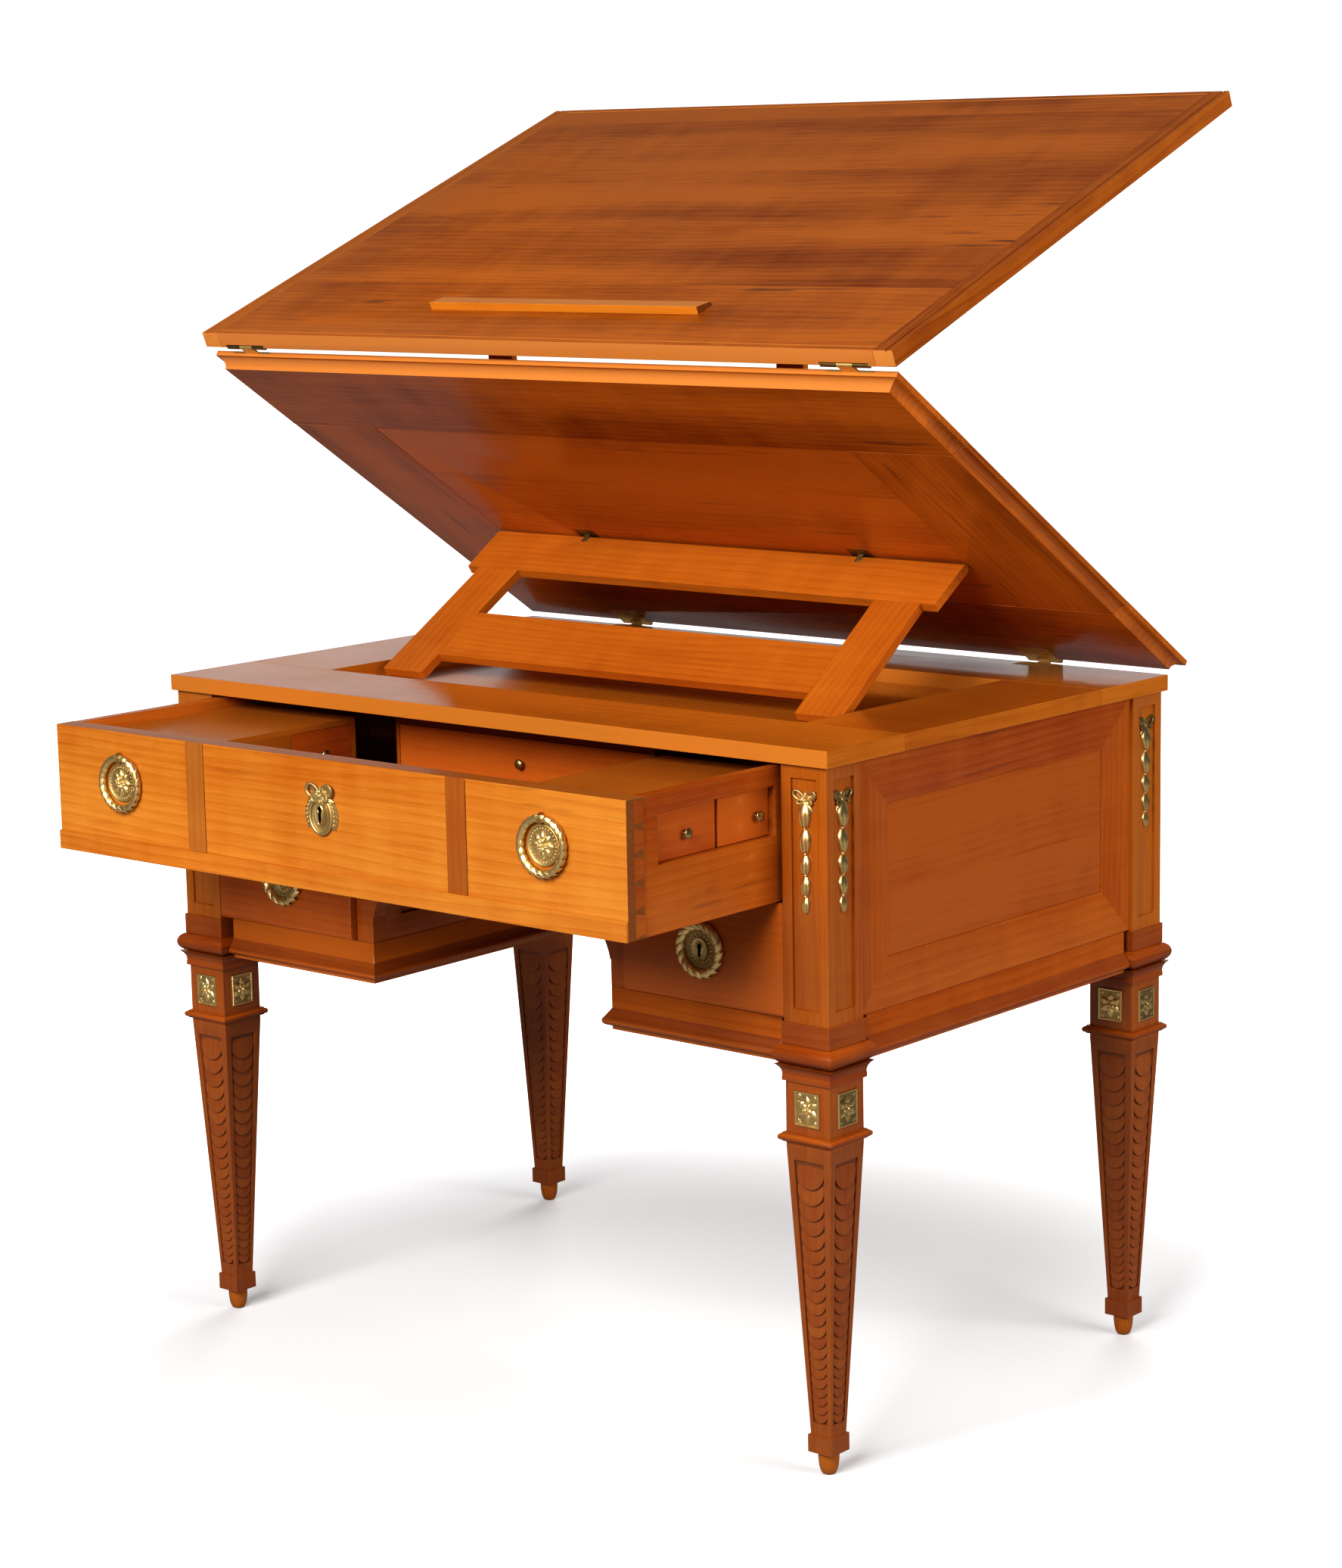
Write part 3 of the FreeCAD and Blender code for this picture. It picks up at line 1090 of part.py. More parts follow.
def make_carcass():
    names = ("leg_front_right", "leg_back_right", "leg_front_left", "leg_back_left")
    for name, solid in zip(names, four(leg())):
        node(name, "carcass", solid)
    node("foot_tips", "carcass", *four(foot_tip()))
    node("leg_mouldings", "carcass", *four(capital()), *four(collar()))
    plates = [rosette(side) for side in ("x", "-x", "y", "-y")]
    node("rosette_plates", "carcass", *[each for plate in plates for each in four(plate)])
    drops = [husk_drop(side) for side in ("-y", "x")]
    node("husk_drops", "carcass", *[each for drop in drops for each in four(drop)])
    node("side_frames", "carcass", *pair(side_frame()))
    node("case_panels", "carcass", *pair(side_panel()), *pair(kneehole_panel()))
    node("kneehole_frames", "carcass", *pair(kneehole_frame()))
    node("pedestal_bases", "carcass", *pair(pedestal_base()))
    node("front_frame", "carcass", apron(), *pair(front_stile()))
    node("dust_boards", "carcass", drawer_bed(), *pair(pedestal_bottom()))
    node("drawer_runners", "carcass", *[each for strip in guides() for each in pair(strip)])
    upper_back = back_board(both(INNER_X), ("bed_top", UNDER))
    lower_back = back_board(("kneehole_half", INNER_X), ("base_high", BED_LOW))
    node("back_boards", "carcass", upper_back, *pair(lower_back))
    front, back, side = top_bars()
    node("top_rails", "carcass", front, back)
    node("top_side_rails", "carcass", *pair(side))
    node("well_floor", "carcass", well_floor())
    node("back_hinges_fixed", "carcass", *[back_hinge_fixed(sign) for sign in ("-", "")])


def make_leaves():
    front, back, side = leaf_bars()
    node("lower_leaf_rails", "lower_leaf", front, back)
    node("lower_leaf_stiles", "lower_leaf", *pair(side))
    node("lower_leaf_panel", "lower_leaf", leaf_panel())
    hinges = [make(sign) for make in (back_hinge_moving, fold_hinge_lower) for sign in ("-", "")]
    node("lower_leaf_hinges", "lower_leaf", *hinges)
    zs = (PANEL_LOW, f"{PANEL_LOW} + plate_thick")
    ears = [bracket(f"{sign}bracket_x", STRUT_PIVOT, zs, "strut_thick") for sign in ("-", "")]
    node("strut_brackets", "lower_leaf", *ears)
    node("strut_legs", "strut", *pair(strut_leg()))
    node("strut_rails", "strut", *strut_rails())
    node("upper_leaf_board", "upper_leaf", upper_board())
    node("upper_leaf_clamps", "upper_leaf", *pair(upper_clamp()))
    node("fold_hinges_upper", "upper_leaf", *[fold_hinge_upper(sign) for sign in ("-", "")])
    zs = (UPPER_LOW, f"{UPPER_LOW} + plate_thick")
    ears = [bracket(f"{sign}stay_bracket_x", STAY_PIVOT, zs, "stay_thick") for sign in ("-", "")]
    node("stay_brackets", "upper_leaf", *ears)
    node("stay_frame", "stay", *stay_solids())
    node("book_rest", "upper_leaf", book_rest())


def make_drawers():
    node("drawer_front", "drawer", drawer_front())
    node("drawer_front_strips", "drawer", *front_strips())
    node("drawer_sides", "drawer", *pair(drawer_side()))
    node("drawer_tray", "drawer", *drawer_tray())
    cases = [each for board in pod_boards() for each in pair(board)]
    node("drawer_pods", "drawer", *cases, *rear_case())
    plate, eye = pull_plate()
    node("pull_backplates", "drawer", *pair(plate), *pair(eye))
    node("bow_escutcheon", "drawer", lock_plate())
    for side, sign in (("right", ""), ("left", "-")):
        node(f"ring_{side}", "drawer", ring(sign))
    outer = {"front": ("-window_front", "-window_split - split_thick/2"),
             "back": ("-window_split + split_thick/2", "-window_back")}
    handles = {"front": "(-window_front - window_split)/2", "back": "-knob_near_end"}
    for place, ys in outer.items():
        box = outer_box(ys)
        button = knob("x", (BOX_OUT, handles[place], "knob_high"))
        both_sides(f"outer_{place}", box, button)
    button = knob("-x", ("pod_inner", "(-inner_front - inner_back)/2", "knob_high"))
    both_sides("inner", inner_box(), button)
    node("small_drawer_rear", "drawer", rear_box())
    node("small_knob_rear", "drawer", knob("-y", ("0", "-rear_face", "knob_high")))
    for side, solids in zip(("right", "left"), zip(*[pair(solid) for solid in lower_drawer()])):
        node(f"pedestal_drawer_{side}", "carcass", *solids)
    for side, solid in zip(("right", "left"), pair(wreath_plate())):
        node(f"pedestal_escutcheon_{side}", "carcass", solid)


def both_sides(name, box, button):
    for side, drawer_box, handle in zip(("right", "left"), pair(box), pair(button)):
        node(f"small_drawer_{name}_{side}", "drawer", drawer_box)
        node(f"small_knob_{name}_{side}", "drawer", handle)


make_carcass()
make_leaves()
make_drawers()
doc.recompute()

for thing in doc.Objects:
    if "Invalid" in thing.State or "Error" in thing.State:
        raise RuntimeError(f"{thing.Name} did not build: {thing.State}")
os.makedirs("parts", exist_ok=True)
for part in nodes:
    if part.Shape.isNull() or not part.Shape.isValid():
        raise RuntimeError(f"{part.Label} has no valid shape")
    part.Shape.exportStep(f"parts/{part.Label}.step")
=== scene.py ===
import json
import math
import random

import bmesh
import bpy
from bpy.props import FloatProperty, FloatVectorProperty, IntProperty, PointerProperty
from mathutils import Matrix, Vector


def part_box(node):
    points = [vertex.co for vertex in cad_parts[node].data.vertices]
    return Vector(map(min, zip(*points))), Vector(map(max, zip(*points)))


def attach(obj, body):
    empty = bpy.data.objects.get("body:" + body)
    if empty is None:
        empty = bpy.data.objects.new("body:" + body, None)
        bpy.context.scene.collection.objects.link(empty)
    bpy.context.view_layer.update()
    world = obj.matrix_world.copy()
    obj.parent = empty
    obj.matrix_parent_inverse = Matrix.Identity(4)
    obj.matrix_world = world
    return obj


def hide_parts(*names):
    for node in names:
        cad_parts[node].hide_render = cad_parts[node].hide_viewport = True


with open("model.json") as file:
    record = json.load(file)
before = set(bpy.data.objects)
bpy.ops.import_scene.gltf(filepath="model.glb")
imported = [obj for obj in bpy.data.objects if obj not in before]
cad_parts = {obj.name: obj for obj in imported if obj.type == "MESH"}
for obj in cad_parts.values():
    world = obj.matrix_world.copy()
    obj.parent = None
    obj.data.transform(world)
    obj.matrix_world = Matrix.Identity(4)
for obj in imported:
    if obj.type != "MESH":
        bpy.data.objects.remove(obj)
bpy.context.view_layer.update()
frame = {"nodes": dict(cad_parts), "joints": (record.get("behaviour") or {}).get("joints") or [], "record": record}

bl_info = {
    "name": "Architect's table",
    "version": (1, 0, 0),
    "blender": (4, 5, 0),
    "location": "View3D > Sidebar > Table",
    "description": "Dresses a cherrywood architect's table: boards, carved legs, gilt mounts "
                   "and studio",
    "category": "Object",
}

NODES = frame["nodes"]
JOINTS = {joint["name"]: joint for joint in frame["joints"]}
SLOTS = {part["node"]: part["material_slot"] for part in frame["record"]["subparts"]}
BODY_OF = {node: body for body, nodes in frame["record"]["behaviour"]["bodies"].items()
           for node in nodes}
LEGS = ("leg_front_right", "leg_back_right", "leg_front_left", "leg_back_left")
SMALL_DRAWERS = ("outer_front_right", "outer_front_left", "outer_back_right", "outer_back_left",
                 "inner_right", "inner_left", "rear")
MM = 0.001
X, Y, Z = Vector((1, 0, 0)), Vector((0, 1, 0)), Vector((0, 0, 1))


# Settings that a user of the panel would change.

class WoodSettings(bpy.types.PropertyGroup):
    """Colours and edges of the cherrywood"""
    pale: FloatVectorProperty(
        name="Pale wood", description="Colour between the growth rings",
        subtype="COLOR", size=3, min=0, max=1, default=(0.60, 0.168, 0.015))
    ruddy: FloatVectorProperty(
        name="Ruddy wood", description="Colour of the growth rings",
        subtype="COLOR", size=3, min=0, max=1, default=(0.33, 0.057, 0.003))
    # The streak colour also darkens the faces that are given grime and painted shade.
    streak: FloatVectorProperty(
        name="Streaks", description="Colour of the short gum streaks and of grime",
        subtype="COLOR", size=3, min=0, max=1, default=(0.115, 0.036, 0.012))
    easing: FloatProperty(
        name="Edge easing", description="How far the sharp edges are rounded off",
        unit="LENGTH", default=0.7 * MM)


class CarvingSettings(bpy.types.PropertyGroup):
    """Scales carved in the legs' sunk panels"""
    lap: FloatProperty(
        name="Step", description="Step from one scale to the next, in radii of the scale",
        default=0.98)
    proud: FloatProperty(
        name="Relief", description="How far a scale's lower edge stands off the panel's floor",
        unit="LENGTH", default=1.85 * MM)


class MountSettings(bpy.types.PropertyGroup):
    """Gilt and brass mounts"""
    gilt: FloatVectorProperty(
        name="Gilding", description="Colour of the gilt bronze",
        subtype="COLOR", size=3, min=0, max=1, default=(0.80, 0.57, 0.24))
    shade: FloatVectorProperty(
        name="Hollows", description="Colour of the tarnish in the hollows",
        subtype="COLOR", size=3, min=0, max=1, default=(0.20, 0.125, 0.045))
    brass: FloatVectorProperty(
        name="Brass", description="Colour of the knobs and screws",
        subtype="COLOR", size=3, min=0, max=1, default=(0.52, 0.38, 0.16))
    laurel: IntProperty(
        name="Laurel sprigs", description="Leaf sprigs around each ring pull",
        default=22, min=6)


class StudioSettings(bpy.types.PropertyGroup):
    """Camera and light"""
    camera_at: FloatVectorProperty(
        name="Camera", description="Where the camera stands",
        subtype="TRANSLATION", size=3, default=(2.54739, -2.90422, 1.32056))
    yaw: FloatProperty(
        name="Yaw", description="Turn of the camera to the left of +Y",
        subtype="ANGLE", default=math.radians(40.44))
    pitch: FloatProperty(
        name="Pitch", description="Tilt of the camera below level",
        subtype="ANGLE", default=math.radians(10.06))
    roll: FloatProperty(
        name="Roll", description="Roll of the camera",
        subtype="ANGLE", default=math.radians(-1.09))
    lens: FloatProperty(
        name="Lens", description="Focal length in millimetres on a 36 mm wide sensor",
        unit="CAMERA", default=95.24)
    key: FloatProperty(
        name="Key light", description="Power of the large soft light in front",
        unit="POWER", default=200)
    fill: FloatProperty(
        name="Fill light", description="Power of the soft light at the right",
        unit="POWER", default=66)
    back: FloatProperty(
        name="Back light", description="Power of the soft light behind",
        unit="POWER", default=75)
    low: FloatProperty(
        name="Low light", description="Power of the lamp under the wide drawer",
        unit="POWER", default=60)
    sky: FloatProperty(
        name="Surround", description="Strength of the white surround",
        default=0.65)


# Places and turns.

def around(count):
    """The angles of a full turn in equal steps."""
    return [math.tau * step / count for step in range(count)]


def spin(angle):
    """A turn about Z."""
    return Matrix.Rotation(angle, 4, "Z")


def tip(angle):
    """A turn about X."""
    return Matrix.Rotation(angle, 4, "X")


def move(x, y, z=0.0):
    """A shift without a turn."""
    return Matrix.Translation((x, y, z))


def facing(at, side):
    """Stands a form made on the XY plane against an upright face that looks to a side."""
    turns = {"-y": 0.0, "y": math.pi, "x": math.pi / 2, "-x": -math.pi / 2}
    return Matrix.Translation(at) @ (spin(turns[side]) @ tip(math.pi / 2))


# Small shapes that the mounts are made of. Each gives points and faces in metres.

CAST_EDGE = math.radians(50)


class Shape:
    """Points and faces gathered before they become one mesh.

    Each point knows how dulled its metal is.
    """

    def __init__(self):
        self.points = []
        self.faces = []
        self.dulled = []

    def add(self, part, place=Matrix(), dull=0.0):
        """Adds points and faces, or a whole shape, at a place."""
        if isinstance(part, Shape):
            points, faces, dulled = part.points, part.faces, part.dulled
        else:
            points, faces = part
            dulled = [dull] * len(points)
        first = len(self.points)
        flip = place.to_3x3().determinant() < 0
        self.points += [place @ Vector(point) for point in points]
        self.dulled += dulled
        for face in faces:
            corners = [first + corner for corner in face]
            self.faces.append(corners[::-1] if flip else corners)

    def mesh(self, name, smooth=True):
        """The mesh of everything gathered so far."""
        mesh = bpy.data.meshes.new(name)
        mesh.from_pydata(self.points, [], self.faces)
        mesh.validate()
        mesh.attributes.new("dulled", "FLOAT", "POINT").data.foreach_set("value", self.dulled)
        mesh.polygons.foreach_set("use_smooth", [smooth] * len(mesh.polygons))
        if smooth:
            mesh.set_sharp_from_angle(angle=CAST_EDGE)
        return mesh


def rings_to_faces(count, sides, closed=False):
    """Faces between rings of points that follow each other."""
    faces = []
    for ring in range(count if closed else count - 1):
        here, there = ring * sides, ((ring + 1) % count) * sides
        for side in range(sides):
            turn = (side + 1) % sides
            faces.append((here + side, here + turn, there + turn, there + side))
    return faces


def end_faces(count, sides):
    """The faces that close the first and the last of some rings."""
    last = (count - 1) * sides
    return [tuple(range(sides))[::-1], tuple(range(last, last + sides))]


def sheet_faces(rows, columns):
    """Faces of a sheet of points that are listed row after row."""
    wide = columns + 1
    corners = [row * wide + column for row in range(rows) for column in range(columns)]
    return [(corner, corner + 1, corner + wide + 1, corner + wide) for corner in corners]


def turning(profile, sides=24):
    """A turned form about Z from radii and heights, closed at both ends."""
    points = [(radius * math.cos(turn), radius * math.sin(turn), height)
              for radius, height in profile for turn in around(sides)]
    return points, rings_to_faces(len(profile), sides) + end_faces(len(profile), sides)


def turning_mm(profile, sides):
    """A turned form whose radii and heights are in millimetres."""
    return turning([(radius * MM, height * MM) for radius, height in profile], sides)


def rod_along(path, radii, sides=10, closed=False):
    """A round bar along a path of points, with a radius at each."""
    points = []
    count = len(path)
    for step, at in enumerate(path):
        ahead = path[(step + 1) % count] if closed or step < count - 1 else at
        behind = path[step - 1] if closed or step > 0 else at
        along = (Vector(ahead) - Vector(behind)).normalized()
        hint = Z if abs(along.z) < 0.9 else Y
        out = along.cross(hint).normalized()
        up = out.cross(along)
        for turn in around(sides):
            points.append(Vector(at) + radii[step] * (math.cos(turn) * out + math.sin(turn) * up))
    faces = rings_to_faces(count, sides, closed)
    return points, faces if closed else faces + end_faces(count, sides)


def leaf(length, width, rise, vein=0.25, rows=8, columns=6):
    """A domed leaf or petal on the XY plane, from its root at the origin to its tip along +Y."""
    points = []
    for row in range(rows + 1):
        share = row / rows
        half = 0.02 * width
        if share < 1:
            half = width / 2 * math.sin(math.pi * (0.12 + 0.88 * share) ** 0.8) ** 0.75
        for column in range(columns + 1):
            across = 2 * column / columns - 1
            dome = (1 - across * across) * math.sin(math.pi * (0.15 + 0.8 * share))
            groove = vein * math.exp(-(across * 4) ** 2)
            points.append((half * across, length * share, rise * dome * (1 - groove)))
    wide = columns + 1
    rim = [row * wide for row in range(rows + 1)]
    rim += [rows * wide + column for column in range(1, wide)]
    rim += [row * wide + columns for row in range(rows - 1, -1, -1)]
    rim += list(range(columns - 1, 0, -1))
    return points, sheet_faces(rows, columns) + [tuple(rim)]


def small_leaf(length, width, rise, rows=5):
    """A leaf in millimetres, with fewer faces, for where many lie close."""
    return leaf(length * MM, width * MM, rise * MM, rows=rows, columns=4)


def bead(radius, rise=1.0, sides=14, rings=5):
    """A half ball on the XY plane."""
    profile = [(radius * math.cos(a), rise * radius * math.sin(a))
               for a in (math.pi / 2 * step / rings for step in range(rings))]
    return turning(profile + [(0.02 * radius, rise * radius)], sides)


# Inset in widths of the rim, and level in shares of the plate's thickness.
RIM_STEPS = ((0, 0), (0, 0.7), (0.25, 1), (0.9, 1), (1.2, 0.6))


def framed_plate(width, height, thick, rim):
    """A rectangular plate whose ground is sunk inside a raised rim."""
    points = []
    for inset, level in RIM_STEPS:
        x, y = width / 2 - inset * rim, height / 2 - inset * rim
        points += [(sx * x, sy * y, level * thick)
                   for sx, sy in ((-1, -1), (1, -1), (1, 1), (-1, 1))]
    return points, rings_to_faces(len(RIM_STEPS), 4) + end_faces(len(RIM_STEPS), 4)


KEY_SIDES = 48
# Shares of the way from the plate's edge to the hole, and levels in shares of the thickness.
LIP_STEPS = ((0.2, 0.95), (0.5, 0.75), (0.75, 0.8), (0.92, 1.0), (1.0, 0.9), (1.0, 0.0))
CUP_STEPS = ((1.02, 0.0), (1.02, 0.86), (0.97, 0.86), (0.97, 0.06), (0.5, 0.05))


def keyhole(eye, slot, drop):
    """The edge of a keyhole: an eye at the origin over a slot that goes down to the drop."""
    hole = []
    for turn in around(KEY_SIDES):
        toward = Vector((math.cos(turn), math.sin(turn)))
        reach = eye
        if toward.y < 0 and abs(toward.x) * drop < slot * -toward.y * 1.0001:
            reach = drop / -toward.y
        elif toward.y < 0 and abs(toward.x) * eye < slot:
            reach = max(eye, slot / max(abs(toward.x), 1e-6))
        hole.append(toward * reach)
    return hole


def keyhole_plate(edge, thick, hole):
    """A domed plate with a raised lip around a keyhole."""
    rows = [(edge, 0.0), (edge, 0.7), ([point * 0.94 for point in edge], 1.0)]
    rows += [([e.lerp(h, share) for e, h in zip(edge, hole)], level) for share, level in LIP_STEPS]
    points = [(at.x, at.y, level * thick) for row, level in rows for at in row]
    return points, rings_to_faces(len(rows), KEY_SIDES)


def key_cup(thick, hole):
    """The lock's iron behind a keyhole and the dark sides of the hole, nearly black as painted shade."""
    points = [(share * at.x, share * at.y, level * thick)
              for share, level in CUP_STEPS for at in hole]
    count = len(CUP_STEPS)
    return points, rings_to_faces(count, KEY_SIDES) + end_faces(count, KEY_SIDES)


# Shader groups that several finishes share, and the nodes that they are made of.

COLOUR, FLOAT, VECTOR = "NodeSocketColor", "NodeSocketFloat", "NodeSocketVector"
# Places of the colour mix among its sockets for numbers and vectors.
MIX_SHARE, MIX_FIRST, MIX_SECOND, MIX_RESULT = 0, 6, 7, 2


def new_group(name, inputs):
    """An empty group for a finish, with its input and output nodes."""
    group = bpy.data.node_groups.new(name, "ShaderNodeTree")
    for label, kind, value in inputs:
        socket = group.interface.new_socket(label, in_out="INPUT", socket_type=kind)
        if value is not None:
            socket.default_value = value
    for label, kind in (("Color", COLOUR), ("Roughness", FLOAT), ("Height", FLOAT)):
        group.interface.new_socket(label, in_out="OUTPUT", socket_type=kind)
    return group, group.nodes.new("NodeGroupInput"), group.nodes.new("NodeGroupOutput")


def add_node(tree, kind, **settings):
    """A new node with some of its settings changed."""
    node = tree.nodes.new(kind)
    for name, value in settings.items():
        setattr(node, name, value)
    return node


def node_of(tree, kind):
    """The first node of a type."""
    return next(node for node in tree.nodes if node.type == kind)


def feed(tree, socket, value):
    """Links a socket to an output, or gives it a plain value."""
    if hasattr(value, "is_output"):
        tree.links.new(value, socket)
    else:
        socket.default_value = value


def calc(tree, operation, first, second=0.0, clamp=False):
    """One step of arithmetic on outputs or plain values."""
    node = add_node(tree, "ShaderNodeMath", operation=operation, use_clamp=clamp)
    feed(tree, node.inputs[0], first)
    feed(tree, node.inputs[1], second)
    return node.outputs[0]


def times(tree, first, second):
    """The product of two values."""
    return calc(tree, "MULTIPLY", first, second)


def total(tree, first, *others, clamp=False):
    """The sum of several values; a clamp holds the last sum between 0 and 1."""
    for number, value in enumerate(others, 1):
        first = calc(tree, "ADD", first, value, clamp and number == len(others))
    return first


def swing(tree, value, share, middle=0.5):
    """A share of how far a value lies above a middle."""
    return times(tree, calc(tree, "SUBTRACT", value, middle), share)


def mix_colour(tree, share, first, second):
    """A colour between two others."""
    node = add_node(tree, "ShaderNodeMix", data_type="RGBA", blend_type="MIX")
    feed(tree, node.inputs[MIX_SHARE], share)
    feed(tree, node.inputs[MIX_FIRST], first)
    feed(tree, node.inputs[MIX_SECOND], second)
    return node.outputs[MIX_RESULT]


def noise(tree, vector, scale, detail=3.0, rough=0.55, stretch=(1, 1, 1)):
    """Soft noise around 0.5; a small stretch draws it out along that axis."""
    mapping = add_node(tree, "ShaderNodeMapping", vector_type="POINT")
    mapping.inputs["Scale"].default_value = stretch
    tree.links.new(vector, mapping.inputs["Vector"])
    node = add_node(tree, "ShaderNodeTexNoise", noise_dimensions="3D")
    node.inputs["Scale"].default_value = scale
    node.inputs["Detail"].default_value = detail
    node.inputs["Roughness"].default_value = rough
    tree.links.new(mapping.outputs[0], node.inputs["Vector"])
    return node.outputs["Fac"]


def climb(tree, value, low, high):
    """A smooth climb from 0 at low to 1 at high."""
    node = add_node(tree, "ShaderNodeMapRange", interpolation_type="SMOOTHSTEP")
    node.inputs["From Min"].default_value = low
    node.inputs["From Max"].default_value = high
    tree.links.new(value, node.inputs["Value"])
    return node.outputs[0]


def split_xyz(tree, vector):
    """The three parts of a vector."""
    node = add_node(tree, "ShaderNodeSeparateXYZ")
    tree.links.new(vector, node.inputs[0])
    return node.outputs


# The cherry's figure, with X along a board, Y across it and Z through it, in metres.
RINGS_PER_METRE, RING_SLANT, RING_WANDER, RING_SHARPNESS = 95.0, 0.6, 6.0, 2.2
PLANK_SHIFT = (7, 0.3, 5)
UNGLUED = 9.0
# The paler colour given to faces that look to the front, as painted light.
FRONT_LIGHT_COLOUR = (0.80, 0.36, 0.10, 1)
GRAIN_NOISE = {
    "wander": dict(scale=4.0, detail=2.0, stretch=(0.3, 1.3, 1.3)),
    "fibres": dict(scale=420.0, detail=4.0, rough=0.6, stretch=(0.035, 1, 1)),
    "clouds": dict(scale=5.0, detail=4.0, stretch=(0.25, 1.8, 1.8)),
    "ripple": dict(scale=26.0, detail=2.0, stretch=(1.0, 0.16, 0.16)),
    "gum": dict(scale=70.0, detail=3.0, rough=0.6, stretch=(0.075, 1, 1)),
    "gum_places": dict(scale=6.0, detail=2.0, stretch=(0.4, 1, 1)),
    "smears": dict(scale=9.0, detail=3.0),
}
GUM_STARTS, GUM_GATHERS = (0.615, 0.72), (0.45, 0.7)
CLOUD_MIDDLE = 0.42
# How strongly each part of the figure darkens, roughens or raises the wood.
DARKENS = {"rings": 0.6, "fibres": 0.75, "clouds": 1.5, "planks": 0.22, "ripple": 0.5,
           "board": 0.55}
ROUGHENS = {"smears": 0.16, "fibres": 0.06, "grime_and_painted_light": 0.35}
RAISES = {"fibres": 0.7, "gum": 0.3}


def cherry_grain_group():
    """Growth rings, fibres, gum streaks and glued planks.

    A board's tone from 0 to 1 is its own colour; above 1 it adds grime and painted shade, below 0 it is painted
    paler as painted light.
    """
    group, given, out = new_group("Cherry grain", [
        ("Grain", VECTOR, None), ("Board", FLOAT, 0.5),
        ("Pale", COLOUR, None), ("Ruddy", COLOUR, None), ("Streak", COLOUR, None),
        ("Rings", FLOAT, 0.5), ("Streaks", FLOAT, 0.6), ("Polish", FLOAT, 0.2),
        ("Figure", FLOAT, 1.0), ("Plank", FLOAT, UNGLUED)])
    given = given.outputs
    across = split_xyz(group, given["Grain"])["Y"]
    plank = calc(group, "FLOOR", calc(group, "DIVIDE", across, given["Plank"]))
    pick = add_node(group, "ShaderNodeTexWhiteNoise", noise_dimensions="1D")
    group.links.new(plank, pick.inputs["W"])
    slide = add_node(group, "ShaderNodeVectorMath", operation="MULTIPLY_ADD")
    group.links.new(pick.outputs["Color"], slide.inputs[0])
    slide.inputs[1].default_value = PLANK_SHIFT
    group.links.new(given["Grain"], slide.inputs[2])
    grain = slide.outputs[0]
    part = {name: noise(group, grain, **kind) for name, kind in GRAIN_NOISE.items()}
    place = split_xyz(group, grain)
    depth = total(group, place["Y"], times(group, place["Z"], RING_SLANT))
    wavy = total(group, times(group, depth, RINGS_PER_METRE),
                 times(group, part["wander"], RING_WANDER))
    ring = calc(group, "POWER", calc(group, "FRACT", wavy), RING_SHARPNESS)
    gum = climb(group, part["gum"], *GUM_STARTS)
    gathered = climb(group, part["gum_places"], *GUM_GATHERS)
    # A tone above 1 darkens the board toward the streak colour; it carries both grime and painted shade.
    grime_and_painted_light = calc(group, "SUBTRACT", given["Board"], 1.0, clamp=True)
    front_lit = calc(group, "MULTIPLY", given["Board"], -1.0, clamp=True)

    rings = times(group, ring, times(group, given["Rings"], DARKENS["rings"]))
    figure = total(group, swing(group, part["clouds"], DARKENS["clouds"], CLOUD_MIDDLE),
                   swing(group, pick.outputs["Value"], DARKENS["planks"]))
    dark = total(group, rings, swing(group, part["fibres"], DARKENS["fibres"]),
                 times(group, figure, given["Figure"]),
                 swing(group, part["ripple"], DARKENS["ripple"]),
                 swing(group, given["Board"], DARKENS["board"]), clamp=True)
    colour = mix_colour(group, dark, given["Pale"], given["Ruddy"])
    # Faces that look to the front are painted paler toward this colour, as painted light.
    colour = mix_colour(group, front_lit, colour, FRONT_LIGHT_COLOUR)
    marks = times(group, times(group, gum, gathered), given["Streaks"])
    marks = calc(group, "MAXIMUM", marks, grime_and_painted_light)
    group.links.new(mix_colour(group, marks, colour, given["Streak"]), out.inputs["Color"])

    rough = total(group, given["Polish"], swing(group, part["smears"], ROUGHENS["smears"]),
                  times(group, part["fibres"], ROUGHENS["fibres"]),
                  times(group, grime_and_painted_light, ROUGHENS["grime_and_painted_light"]))
    group.links.new(rough, out.inputs["Roughness"])
    height = calc(group, "SUBTRACT", times(group, part["fibres"], RAISES["fibres"]),
                  times(group, gum, RAISES["gum"]))
    group.links.new(height, out.inputs["Height"])
    return group


# Pointiness from hollow to level, and what hollows and clouds of tarnish add.
HOLLOW_ENDS, CLOUD_RANGE = (0.37, 0.50), (0.5, 0.8)
HOLLOW_DULLS, CLOUD_DULLS = 0.9, 0.35
DULL_ROUGHENS, SPECK_ROUGHENS = 0.3, 0.2


